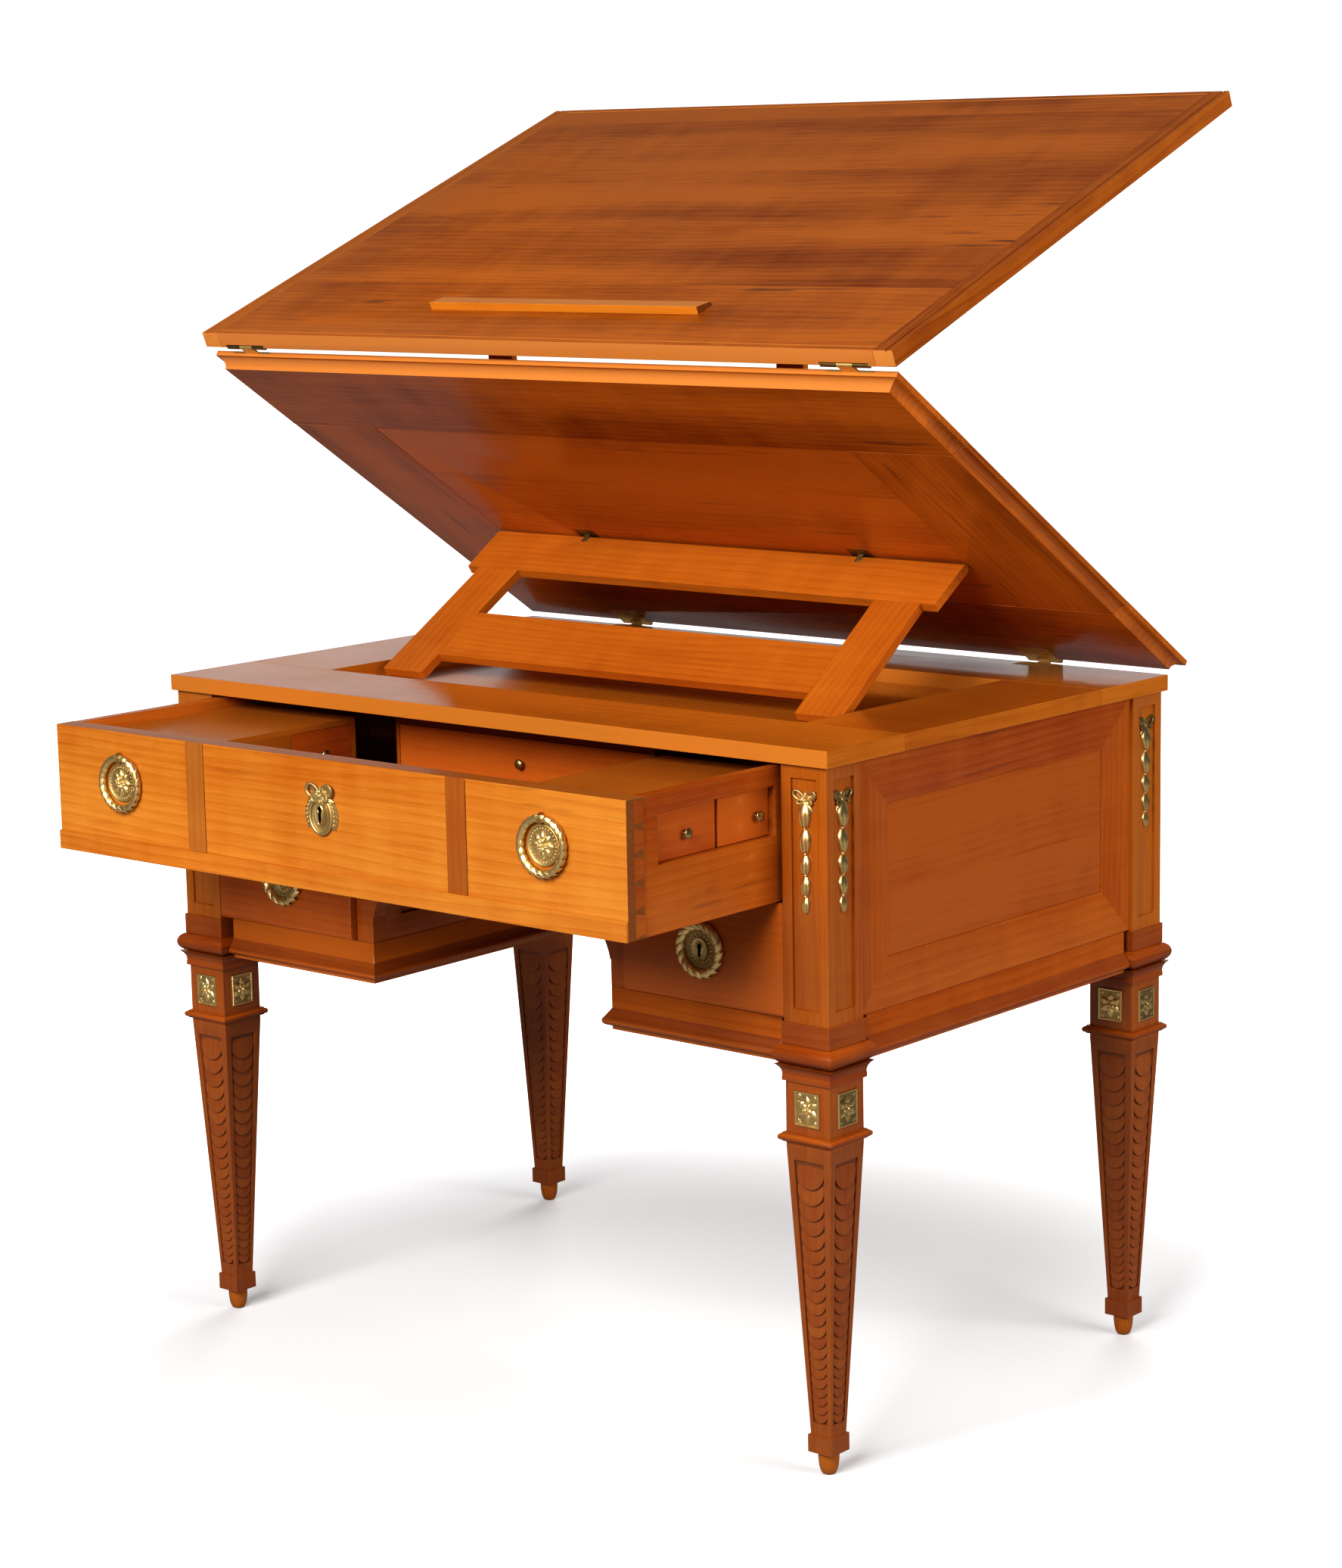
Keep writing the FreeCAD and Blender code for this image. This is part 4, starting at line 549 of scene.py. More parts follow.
def tarnish_group():
    """Metal that is bright on its edges and dull in its hollows, with fine chasing marks."""
    group, given, out = new_group("Tarnish", [
        ("Bright", COLOUR, None), ("Dull", COLOUR, None), ("Polish", FLOAT, 0.25),
        ("Grit", FLOAT, 1.0), ("Dulled", FLOAT, 0.0)])
    given = given.outputs
    place = add_node(group, "ShaderNodeTexCoord").outputs["Object"]
    edges = add_node(group, "ShaderNodeNewGeometry").outputs["Pointiness"]
    speck = noise(group, place, scale=520.0, detail=4.0, rough=0.65)
    cloud = climb(group, noise(group, place, scale=60.0), *CLOUD_RANGE)
    hollow = calc(group, "SUBTRACT", 1.0, climb(group, edges, *HOLLOW_ENDS))
    dull = total(group, times(group, hollow, HOLLOW_DULLS), given["Dulled"],
                 times(group, cloud, CLOUD_DULLS), clamp=True)
    group.links.new(mix_colour(group, dull, given["Bright"], given["Dull"]), out.inputs["Color"])
    rough = total(group, given["Polish"], times(group, dull, DULL_ROUGHENS),
                  swing(group, speck, SPECK_ROUGHENS))
    group.links.new(rough, out.inputs["Roughness"])
    group.links.new(times(group, speck, given["Grit"]), out.inputs["Height"])
    return group


def new_finish(name):
    """A material with one plain shader, its node tree and that shader."""
    finish = bpy.data.materials.new(name)
    finish.use_nodes = True
    return finish, finish.node_tree, node_of(finish.node_tree, "BSDF_PRINCIPLED")


def finish_with(name, group, values, shader_values, bump):
    """A material whose shader is fed by one of the shared groups.

    The bump is its strength and its distance in metres.
    """
    finish, tree, shader = new_finish(name)
    for socket, value in shader_values.items():
        shader.inputs[socket].default_value = value
    made = add_node(tree, "ShaderNodeGroup", node_tree=group)
    for socket, value in values.items():
        made.inputs[socket].default_value = (*value, 1) if isinstance(value, tuple) else value
    tree.links.new(made.outputs["Color"], shader.inputs["Base Color"])
    tree.links.new(made.outputs["Roughness"], shader.inputs["Roughness"])
    relief = add_node(tree, "ShaderNodeBump")
    relief.inputs["Strength"].default_value, relief.inputs["Distance"].default_value = bump
    tree.links.new(made.outputs["Height"], relief.inputs["Height"])
    tree.links.new(relief.outputs[0], shader.inputs["Normal"])
    return finish, made


def read_attribute(finish, label, output, socket):
    """Feeds a socket from an attribute of the mesh."""
    source = add_node(finish.node_tree, "ShaderNodeAttribute", attribute_name=label)
    finish.node_tree.links.new(source.outputs[output], socket)


# How each kind of board differs from the plain cherry: shares of the pale and the ruddy colour,
# rings, streaks and polish. Some also have a yellower (gold) or a whiter (milk) cast, a stronger
# figure, more shine, or a width of the planks that they are glued up from.
PLAIN_WOOD = dict(gold=1.0, milk=1.0, figure=1.0, plank=UNGLUED, shine=0.18)
CHERRY = {
    "carcass_wood": dict(pale=0.71, ruddy=0.80, rings=0.40, streaks=0.45, polish=0.22, gold=0.88),
    "panel_wood": dict(pale=0.62, ruddy=0.74, rings=0.45, streaks=0.45, polish=0.18, gold=0.82,
                       figure=1.2, plank=0.19),
    "tip_wood": dict(pale=0.62, ruddy=0.90, rings=0.30, streaks=0.30, polish=0.36),
    "inside_wood": dict(pale=0.74, ruddy=0.86, rings=0.35, streaks=1.0, polish=0.30, gold=0.94,
                        figure=1.6),
    "top_wood": dict(pale=0.79, ruddy=0.86, rings=0.40, streaks=0.45, polish=0.16, gold=1.06),
    "leaf_wood": dict(pale=0.78, ruddy=0.45, rings=0.36, streaks=1.0, polish=0.22, gold=0.93,
                      figure=1.6, plank=0.155),
    "strut_wood": dict(pale=0.88, ruddy=0.95, rings=0.40, streaks=0.40, polish=0.22),
    # The front wood is painted paler and yellower than the rest, as painted light on the front pieces.
    "front_wood": dict(pale=1.02, ruddy=1.26, rings=0.46, streaks=0.45, polish=0.20, gold=1.37,
                       milk=2.0, figure=1.3),
    "pod_wood": dict(pale=0.60, ruddy=0.72, rings=0.30, streaks=0.10, polish=0.30),
}
# The legs' wood and the lower drawers' wood are painted darker, as painted shade.
SHADED_LEG_WOOD = dict(pale=0.66, ruddy=0.78, rings=0.35, streaks=0.40, polish=0.28, shine=0.28)
SHADED_LOWER_WOOD = dict(pale=0.72, ruddy=0.84, rings=0.50, streaks=0.35, polish=0.20, gold=0.82)
UNDER_WOOD = dict(pale=0.88, ruddy=0.52, rings=0.30, streaks=0.7, polish=0.19, gold=0.93,
                  figure=1.5, plank=0.155)
SMALL_WOOD = dict(pale=0.76, ruddy=0.95, rings=0.35, streaks=0.30, polish=0.24, gold=0.80)
CLAMP_WOOD = dict(pale=0.80, ruddy=0.62, rings=0.45, streaks=0.25, polish=0.22)
REST_WOOD = dict(pale=1.05, ruddy=1.30, rings=0.40, streaks=0.20, polish=0.30, gold=1.15)
# Nodes that differ from the rest of their slot, by how their names start.
ODD_WOOD = {
    "pedestal_drawer": ("Lower drawer cherry", SHADED_LOWER_WOOD),
    "small_drawer": ("Small drawer cherry", SMALL_WOOD),
    "lower_leaf": ("Lower leaf cherry", UNDER_WOOD),
    "upper_leaf_clamps": ("Clamp cherry", CLAMP_WOOD),
    "book_rest": ("Book rest cherry", REST_WOOD),
    "leg_front": ("Leg cherry", SHADED_LEG_WOOD),
    "leg_back": ("Leg cherry", SHADED_LEG_WOOD),
}
COAT = {"Coat Weight": 0.15, "Coat Roughness": 0.08}
WOOD_BUMP, METAL_BUMP = (0.04, 0.0003), (0.25, 0.0004)


def cherry(name, kind):
    """Polished cherry in one of its tones; boards carry their own grain coordinates and tone."""
    if name in bpy.data.materials:
        return bpy.data.materials[name]
    wood = bpy.context.scene.table_wood
    kind = {**PLAIN_WOOD, **kind}
    group = bpy.data.node_groups.get("Cherry grain") or cherry_grain_group()
    red, green, blue = (part * kind["pale"] for part in wood.pale)
    deep_red, deep_green, deep_blue = (part * kind["ruddy"] for part in wood.ruddy)
    values = {"Pale": (red, green * kind["gold"], blue * kind["milk"]),
              "Ruddy": (deep_red, deep_green * kind["gold"], deep_blue),
              "Streak": tuple(wood.streak), "Rings": kind["rings"], "Streaks": kind["streaks"],
              "Polish": kind["polish"], "Figure": kind["figure"], "Plank": kind["plank"]}
    gloss = {**COAT, "Specular IOR Level": kind["shine"]}
    finish, made = finish_with(name, group, values, gloss, WOOD_BUMP)
    read_attribute(finish, "grain_at", "Vector", made.inputs["Grain"])
    read_attribute(finish, "board_tone", "Fac", made.inputs["Board"])
    return finish


def metal(name, bright, polish, grit=1.0):
    """A metal with tarnish in its hollows and where its points are dulled."""
    if name in bpy.data.materials:
        return bpy.data.materials[name]
    mounts = bpy.context.scene.table_mounts
    group = bpy.data.node_groups.get("Tarnish") or tarnish_group()
    values = {"Bright": tuple(bright), "Dull": tuple(mounts.shade), "Polish": polish, "Grit": grit}
    finish, made = finish_with(name, group, values, {"Metallic": 1.0}, METAL_BUMP)
    read_attribute(finish, "dulled", "Fac", made.inputs["Dulled"])
    return finish


# The bright brass of the back hinges is painted light, for hinges that sit in shade.
LIT_HINGE_BRASS, DARK_BRASS = (0.82, 0.58, 0.22), (0.26, 0.17, 0.06)
# Near-black iron that paints the shade inside the keyholes.
SHADED_LOCK_IRON = (0.012, 0.010, 0.008)


def gilding():
    """The gilt bronze of the mounts."""
    return metal("Gilt bronze", bpy.context.scene.table_mounts.gilt, polish=0.37)


def brass():
    """The brass of knobs and screws."""
    return metal("Old brass", bpy.context.scene.table_mounts.brass, polish=0.34, grit=0.6)


def hinge_brass(node):
    """The back hinges are painted bright brass as painted light, since they sit in shade; the other fittings have
    gone dark.
    """
    if node in ("back_hinges_fixed", "lower_leaf_hinges"):
        return metal("Rubbed brass", LIT_HINGE_BRASS, polish=0.5)
    return metal("Dark brass", DARK_BRASS, polish=0.42)


def shaded_lock_iron():
    """The lock's iron seen through a keyhole, nearly black as painted shade."""
    return metal("Lock iron", SHADED_LOCK_IRON, polish=0.6)


# Pieces.

def put(name, mesh, body, slot, finish, *stands_for):
    """Sets a finished mesh in the scene as a piece of a body."""
    piece = bpy.data.objects.new(name, mesh)
    bpy.context.scene.collection.objects.link(piece)
    mesh.materials.clear()
    mesh.materials.append(finish)
    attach(piece, body)
    if stands_for:
        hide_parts(*stands_for)
    return piece


def mount(name, shape, body, slot, finish, *stands_for):
    """Sets a gathered metal shape in the scene as a piece of a body."""
    return put(name, shape.mesh(name), body, slot, finish, *stands_for)


# Boards.

# Points this close are one point. Edges flatter than the first angle vanish, edges sharper than
# the second are rounded off, and edges sharper than the third stay visible.
WELD = 0.005 * MM
FLAT_EDGE, SHARP_EDGE, SEEN_EDGE = math.radians(0.5), math.radians(38), math.radians(24)
GRAIN_SHIFT = 9
# Seeds of the pieces that have no number among the boards.
SCALE_SEED, TIP_SEED, TAIL_SEED = 100, 200, 300


def islands_of(mesh):
    """The separate boards of a mesh, each a list of its face numbers."""
    owner = list(range(len(mesh.vertices)))

    def root(vertex):
        while owner[vertex] != vertex:
            owner[vertex] = owner[owner[vertex]]
            vertex = owner[vertex]
        return vertex

    for edge in mesh.edges:
        owner[root(edge.vertices[0])] = root(edge.vertices[1])
    boards = {}
    for face in mesh.polygons:
        boards.setdefault(root(face.vertices[0]), []).append(face.index)
    return list(boards.values())


def board_axes(points, tilt):
    """Length, width and thickness directions of a board that may be tilted about X."""
    turn = Matrix.Rotation(tilt, 3, "X")
    level = [turn.inverted() @ point for point in points]
    spans = [max(p[i] for p in level) - min(p[i] for p in level) for i in range(3)]
    order = sorted(range(3), key=lambda i: -spans[i])
    return [turn.col[i] for i in order]


def lay_grain(mesh, seed, tilt=0.0, runs=None, grime_and_painted_light=None):
    """Writes where each corner lies along, across and through its board, and its tone.

    Grime and painted shade above 0 darken a face; below 0 the face is painted paler, as painted light.
    """
    chance = random.Random(seed)
    places = [0.0] * (3 * len(mesh.loops))
    tones = [0.0] * len(mesh.loops)
    for faces in islands_of(mesh):
        points = [mesh.vertices[v].co for f in faces for v in mesh.polygons[f].vertices]
        axes = board_axes(points, tilt)
        shift = Vector([chance.uniform(0, GRAIN_SHIFT) for axis in axes])
        tone = chance.random()
        for number in faces:
            face = mesh.polygons[number]
            along = runs(face) if runs else axes
            tone_change = grime_and_painted_light(face) if grime_and_painted_light else 0.0
            for loop, vertex in zip(face.loop_indices, face.vertices):
                point = mesh.vertices[vertex].co
                places[3 * loop:3 * loop + 3] = [axis.dot(point) + off
                                                 for axis, off in zip(along, shift)]
                tones[loop] = 1.0 + tone_change if tone_change > 0 else tone_change or tone
    mesh.attributes.new("grain_at", "FLOAT_VECTOR", "CORNER").data.foreach_set("vector", places)
    mesh.attributes.new("board_tone", "FLOAT", "CORNER").data.foreach_set("value", tones)


def runs_around(face):
    """Mouldings run level along the side they are on."""
    return (Y, Z, X) if abs(face.normal.x) > abs(face.normal.y) else (X, Z, Y)


def runs_in_frame(node):
    """A mitred frame in an upright plane along Y: level bars and upright bars."""
    low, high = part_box(node)
    middle, half = (low + high) / 2, (high - low) / 2

    def runs(face):
        off = face.center - middle
        upright = abs(off.y) / half.y > 0.86 and abs(off.z) / half.z < 0.75
        return (Z, Y, X) if upright else (Y, Z, X)

    return runs


def eased(node, width):
    """A copy of a board with its sharp edges rounded off a little."""
    mesh = bpy.data.meshes.new(node + "_eased")
    form = bmesh.new()
    form.from_mesh(NODES[node].data)
    bmesh.ops.remove_doubles(form, verts=form.verts, dist=WELD)
    bmesh.ops.dissolve_limit(form, angle_limit=FLAT_EDGE, verts=form.verts, edges=form.edges)
    sharp = [edge for edge in form.edges
             if len(edge.link_faces) == 2 and edge.calc_face_angle() > SHARP_EDGE]
    if width:
        bmesh.ops.bevel(form, geom=sharp, offset=width, offset_type="OFFSET", segments=2,
                        profile=0.5, affect="EDGES", clamp_overlap=True, loop_slide=True)
    form.to_mesh(mesh)
    form.free()
    mesh.polygons.foreach_set("use_smooth", [True] * len(mesh.polygons))
    mesh.set_sharp_from_angle(angle=SEEN_EDGE)
    return mesh


def tilt_of(body):
    """How far a leaf or its prop leans about X at rest, from the ranges of its joints."""
    lower = -math.radians(JOINTS["lower_leaf_hinge"]["range_deg"][1])
    fold = math.radians(JOINTS["upper_leaf_hinge"]["range_deg"][0])
    upper = lower - fold
    leaning = {"lower_leaf": lower, "upper_leaf": upper, "book_rest": upper, "strut": -lower,
               "stay": upper + 2 * fold}
    return leaning.get(body, 0.0)


# Where grime, painted shade and painted light lie. Faces count as level, as ends or as front edges from these
# normals on.
LEVEL_FACE, END_FACE, FRONT_FACE = 0.9, 0.9, -0.75
END_DIRT, TOP_DARKENING = 0.75, 0.45
STRIP_DIRT, PLINTH_DIRT, PLINTH_SHARE = 0.4, 0.03, 0.3
# How much paler the front faces of the leaves and of the slab are painted, as painted light.
LEAF_FRONT_LIGHT, SLAB_FRONT_LIGHT = 0.3, 0.12
# Painted shade on the legs' mouldings, by how far each face turns down.
MOULDING_SHADE, MOULDING_FALL, LEAST_SHADE = 0.26, 0.3, 0.02
# Painted shade on the bead and the slopes of the bases.
BASE_SHADE, BASE_SLOPE = 0.4, 0.1
TAIL_DIRT = 0.12


def strip_grime(face):
    """The upright strips of the wide drawer's front are darker than its plinth."""
    low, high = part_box("drawer_front_strips")
    plinth = low.z + PLINTH_SHARE * (high.z - low.z)
    return STRIP_DIRT if face.center.z > plinth else PLINTH_DIRT


def end_grime(face):
    """End grain drinks up dirt."""
    return END_DIRT if abs(face.normal.x) > END_FACE else 0.0


def front_grime(face):
    """The wide drawer's front is darker along its top, and dirty on its ends."""
    return TOP_DARKENING if face.normal.z > LEVEL_FACE else end_grime(face)


def front_face_light(amount):
    """Faces that look to the front are painted paler, as painted light."""
    def paler_front(face):
        return -amount if face.normal.y < FRONT_FACE else 0.0

    return paler_front


def moulding_shade(face):
    """The legs' mouldings get painted shade where they turn down, and little of it where they look up."""
    return max(LEAST_SHADE, MOULDING_SHADE - MOULDING_FALL * face.normal.z)


def base_shade(face):
    """The bead and the slopes of the bases are painted with shade, darker than the flat above them."""
    slope = abs(face.normal.z)
    return BASE_SHADE * slope ** 0.5 if slope > BASE_SLOPE else 0.0


DIRT_AND_PAINTED_LIGHT = {
    "drawer_front": front_grime,
    "drawer_front_strips": strip_grime,
    "book_rest": end_grime,
    "leg_mouldings": moulding_shade,
    "pedestal_bases": base_shade,
    # The front faces of the slab's rails and of the leaves are painted paler, as painted light.
    "top_rails": front_face_light(SLAB_FRONT_LIGHT),
    "upper_leaf_board": front_face_light(LEAF_FRONT_LIGHT),
    "upper_leaf_clamps": front_face_light(LEAF_FRONT_LIGHT),
    "lower_leaf_rails": front_face_light(LEAF_FRONT_LIGHT),
    "lower_leaf_stiles": front_face_light(LEAF_FRONT_LIGHT),
}
MOULDED = ("leg_mouldings", "pedestal_bases", "top_rails")


def runs_of(node):
    """How the grain runs in a node whose boards don't all run along their length."""
    if node in MOULDED:
        return runs_around
    return runs_in_frame(node) if node == "side_frames" else None


class TABLE_OT_boards(bpy.types.Operator):
    """Round the edges of every wooden piece and lay its grain"""
    bl_idname = "table.boards"
    bl_label = "Boards"

    def execute(self, context):
        easing = context.scene.table_wood.easing
        for number, (node, slot) in enumerate(sorted(SLOTS.items())):
            if slot not in CHERRY or node == "foot_tips":
                continue
            mesh = eased(node, easing)
            grime_and_painted_light = panel_shade_and_grime(node) if node in LEGS else DIRT_AND_PAINTED_LIGHT.get(node)
            lay_grain(mesh, number, tilt_of(BODY_OF[node]), runs_of(node), grime_and_painted_light)
            odd = [wood for start, wood in ODD_WOOD.items() if node.startswith(start)]
            name, kind = odd[0] if odd else ("Cherry " + slot, CHERRY[slot])
            put("board_" + node, mesh, BODY_OF[node], slot, cherry(name, kind), node)
        return {"FINISHED"}


class TABLE_OT_dovetails(bpy.types.Operator):
    """Show the tails of the wide drawer's sides in the ends of its front"""
    bl_idname = "table.dovetails"
    bl_label = "Dovetails"
    count = 5
    lap, root, end = 11 * MM, 8.6 * MM, 11.6 * MM
    sunk, proud = 0.5 * MM, 0.12 * MM

    def execute(self, context):
        low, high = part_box("drawer_front")
        pitch = (high.z - low.z) / self.count
        shape = Shape()
        for number in range(self.count):
            level = low.z + (number + 0.5) * pitch
            points = []
            for x in (high.x - self.sunk, high.x + self.proud):
                points += [(x, low.y + self.lap, level - self.end),
                           (x, high.y, level - self.root),
                           (x, high.y, level + self.root),
                           (x, low.y + self.lap, level + self.end)]
            tail = points, rings_to_faces(2, 4) + end_faces(2, 4)
            shape.add(tail)
            shape.add(tail, Matrix.Scale(-1, 4, X))
        mesh = shape.mesh("dovetails", smooth=False)
        lay_grain(mesh, TAIL_SEED, runs=lambda face: (Y, Z, X), grime_and_painted_light=lambda face: TAIL_DIRT)
        finish = cherry("Cherry inside_wood", CHERRY["inside_wood"])
        put("dovetails", mesh, "frieze_drawer", "inside_wood", finish)
        return {"FINISHED"}


# Legs. The shaft's half widths at its ends, and its sunk panels with the borders beside them.

SHAFT = {"low": 42.5 * MM, "high": 346 * MM, "ankle": 12.7 * MM, "knee": 27.5 * MM}
PANEL = {"low": 56 * MM, "high": 332 * MM, "sunk": 2 * MM,
         "border_low": 4.4 * MM, "border_high": 8.3 * MM}
BLOCK_OVER_ROSETTE = 12 * MM
# Painted shade in the sunk panels; the shaft and the block are a darker tone.
PANEL_SHADE, SHAFT_DIRT, BLOCK_DIRT = 0.8, 0.3, 0.16


def leg_axis(node):
    """Where a leg stands on the floor."""
    low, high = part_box(node)
    return (low.x + high.x) / 2, (low.y + high.y) / 2


def shaft_half(level):
    """Half the width of a leg's shaft at a level."""
    share = (level - SHAFT["low"]) / (SHAFT["high"] - SHAFT["low"])
    return SHAFT["ankle"] + share * (SHAFT["knee"] - SHAFT["ankle"])


def panel_half(level):
    """Half the width of a leg's sunk panel at a level."""
    share = (level - PANEL["low"]) / (PANEL["high"] - PANEL["low"])
    return (shaft_half(level) - PANEL["border_low"]
            - share * (PANEL["border_high"] - PANEL["border_low"]))


def panel_shade_and_grime(leg):
    """A leg's shaft and block are darker than its post, and its sunk panels are darkest, with painted shade."""
    x, y = leg_axis(leg)
    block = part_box("rosette_plates")[1].z + BLOCK_OVER_ROSETTE

    def grime_and_painted_light(face):
        at = face.center
        off = max(abs(at.x - x), abs(at.y - y))
        beside = PANEL["low"] < at.z < PANEL["high"]
        if beside and off < shaft_half(at.z) - 0.6 * PANEL["sunk"]:
            return PANEL_SHADE
        return SHAFT_DIRT if at.z < SHAFT["high"] else BLOCK_DIRT if at.z < block else 0.0

    return grime_and_painted_light


SCALE_SIDES = 22
# Shares of a scale's radius, and how much they rise or fall besides its lean.
SCALE_RINGS = ((0.15, 0.18), (0.45, 0.14), (0.8, 0.03), (0.95, -0.05), (1.0, -0.22))
SCALE_FACES = len(SCALE_RINGS) * SCALE_SIDES + 1
SCALE_FOOT = -0.2 * MM
# Painted shade along the outer rings of faces, and the dirt of the others.
SCALE_EDGE_SHADE, SCALE_DIRT = {3: 0.65, 4: 1.0}, 0.3


def scale_disc(radius, proud):
    """One carved scale: its head sinks under the one above, its lower edge stands proud."""
    points = []
    for share, lift in SCALE_RINGS:
        for turn in around(SCALE_SIDES):
            x, y = share * radius * math.cos(turn), share * radius * math.sin(turn)
            lean = 0.5 - 0.5 * y / radius
            points.append((x, y, proud * min(1.0, 0.94 * lean + lift * 0.6)))
    points += [(radius * math.cos(turn), radius * math.sin(turn), SCALE_FOOT)
               for turn in around(SCALE_SIDES)]
    faces = [face[::-1] for face in rings_to_faces(len(SCALE_RINGS) + 1, SCALE_SIDES)]
    return points, faces + [tuple(range(SCALE_SIDES))]


def scale_shade_and_grime(face):
    """Some dirt on each scale, and painted shade along its edge."""
    return SCALE_EDGE_SHADE.get(face.index % SCALE_FACES // SCALE_SIDES, SCALE_DIRT)


def scale_column(shape, axis, quarter, lap, proud):
    """The scales of one sunk panel, from its head down to the ankle."""
    lean = math.atan((SHAFT["knee"] - SHAFT["ankle"]) / (SHAFT["high"] - SHAFT["low"]))
    level = PANEL["high"] - 0.6 * panel_half(PANEL["high"])
    while level - 0.7 * panel_half(level) > PANEL["low"]:
        radius = 0.97 * panel_half(level)
        out = shaft_half(level) - PANEL["sunk"]
        stand = move(0, -out, level) @ tip(math.pi / 2 - lean)
        shape.add(scale_disc(radius, proud), move(*axis) @ spin(quarter * math.pi / 2) @ stand)
        level -= lap * radius


class TABLE_OT_leg_scales(bpy.types.Operator):
    """Carve a column of lapping scales in each sunk panel of the legs"""
    bl_idname = "table.leg_scales"
    bl_label = "Leg scales"

    def execute(self, context):
        carving = context.scene.table_carving
        for number, leg in enumerate(LEGS):
            shape = Shape()
            for quarter in range(4):
                scale_column(shape, leg_axis(leg), quarter, carving.lap, carving.proud)
            mesh = shape.mesh(leg + "_scales")
            lay_grain(mesh, SCALE_SEED + number, runs=lambda face: (Z, X, Y), grime_and_painted_light=scale_shade_and_grime)
            put("scales_" + leg, mesh, "carcass", "carcass_wood", cherry("Leg cherry", SHADED_LEG_WOOD))
        return {"FINISHED"}


# Radii and heights in millimetres.
TIP_PROFILE = ((5.4, 0), (6.6, 0.6), (7.9, 2.2), (9.1, 5), (9.9, 8.5), (10.5, 12.5), (10.85, 17),
               (10.95, 21), (10.9, 23.2), (10.6, 24.0))


class TABLE_OT_foot_tips(bpy.types.Operator):
    """Turn the acorn tip under each leg"""
    bl_idname = "table.foot_tips"
    bl_label = "Foot tips"

    def execute(self, context):
        shape = Shape()
        for leg in LEGS:
            shape.add(turning_mm(TIP_PROFILE, 32), move(*leg_axis(leg)))
        mesh = shape.mesh("foot_tips_turned")
        lay_grain(mesh, TIP_SEED)
        finish = cherry("Tip cherry", CHERRY["tip_wood"])
        put("foot_tips_turned", mesh, "carcass", "tip_wood", finish, "foot_tips")
        return {"FINISHED"}


# Gilt mounts.

SEEDS_ROUND_BUTTON = 7


def flower(shape, place, reach, rise, petals, inner):
    """A rosette of two rows of petals around a button with small seeds."""
    for turn in around(petals):
        petal = leaf(0.72 * reach, 0.62 * reach, 0.55 * rise)
        shape.add(petal, place @ spin(turn) @ move(0, 0.28 * reach))
    for number in range(inner):
        turn = spin(math.tau * (number + 0.5) / inner)
        petal = leaf(0.5 * reach, 0.42 * reach, 0.5 * rise)
        shape.add(petal, place @ turn @ move(0, 0.08 * reach, 0.32 * rise))
    shape.add(bead(0.17 * reach), place @ move(0, 0, 0.55 * rise))
    for turn in around(SEEDS_ROUND_BUTTON):
        seed = bead(0.055 * reach, 1.0, 8, 3)
        shape.add(seed, place @ spin(turn) @ move(0, 0.23 * reach, 0.62 * rise))


ROSETTE_WIDE, ROSETTE_TALL, ROSETTE_THICK, ROSETTE_RIM = 31 * MM, 36 * MM, 2.2 * MM, 2.2 * MM


def rosette():
    """A square plate with a sunk ground, a flower and three small leaves in each corner."""
    shape = Shape()
    shape.add(framed_plate(ROSETTE_WIDE, ROSETTE_TALL, ROSETTE_THICK, ROSETTE_RIM))
    ground = 0.55 * ROSETTE_THICK
    flower(shape, move(0, 0, ground), 14.2 * MM, 3.8 * MM, 6, 5)
    for sx in (-1, 1):
        for sy in (-1, 1):
            corner = move(sx * 0.36 * ROSETTE_WIDE, sy * 0.40 * ROSETTE_TALL, ground)
            turn = math.atan2(-sx * 1.0, sy * 1.1)
            for fan in (-0.6, 0, 0.6):
                shape.add(small_leaf(4.2, 2.6, 0.9), corner @ spin(turn + fan + math.pi))
    return shape


class TABLE_OT_rosettes(bpy.types.Operator):
    """Put a gilt rosette on each face of the legs' blocks"""
    bl_idname = "table.rosettes"
    bl_label = "Rosettes"

    def execute(self, context):
        low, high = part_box("rosette_plates")
        level, out = (low.z + high.z) / 2, SHAFT["knee"]
        shape, plate = Shape(), rosette()
        for leg in LEGS:
            x, y = leg_axis(leg)
            for side, at in (("-y", (x, y - out, level)), ("y", (x, y + out, level)),
                             ("x", (x + out, y, level)), ("-x", (x - out, y, level))):
                shape.add(plate, facing(at, side))
        mount("rosettes", shape, "carcass", "gilt_bronze", gilding(), "rosette_plates")
        return {"FINISHED"}


# How far down a husk goes, by the share of its half width: three points with notches between.
HUSK_TIPS = ((0.0, 1.0), (0.42, 0.88), (0.72, 0.94), (1.0, 0.76))
HUSK_NOTCH = HUSK_TIPS[1][0]


def husk_reach(across):
    """How far down a husk goes at a place across it."""
    for (near, first), (far, last) in zip(HUSK_TIPS, HUSK_TIPS[1:]):
        if across <= far:
            return first + (last - first) * (across - near) / (far - near)
    return HUSK_TIPS[-1][1]


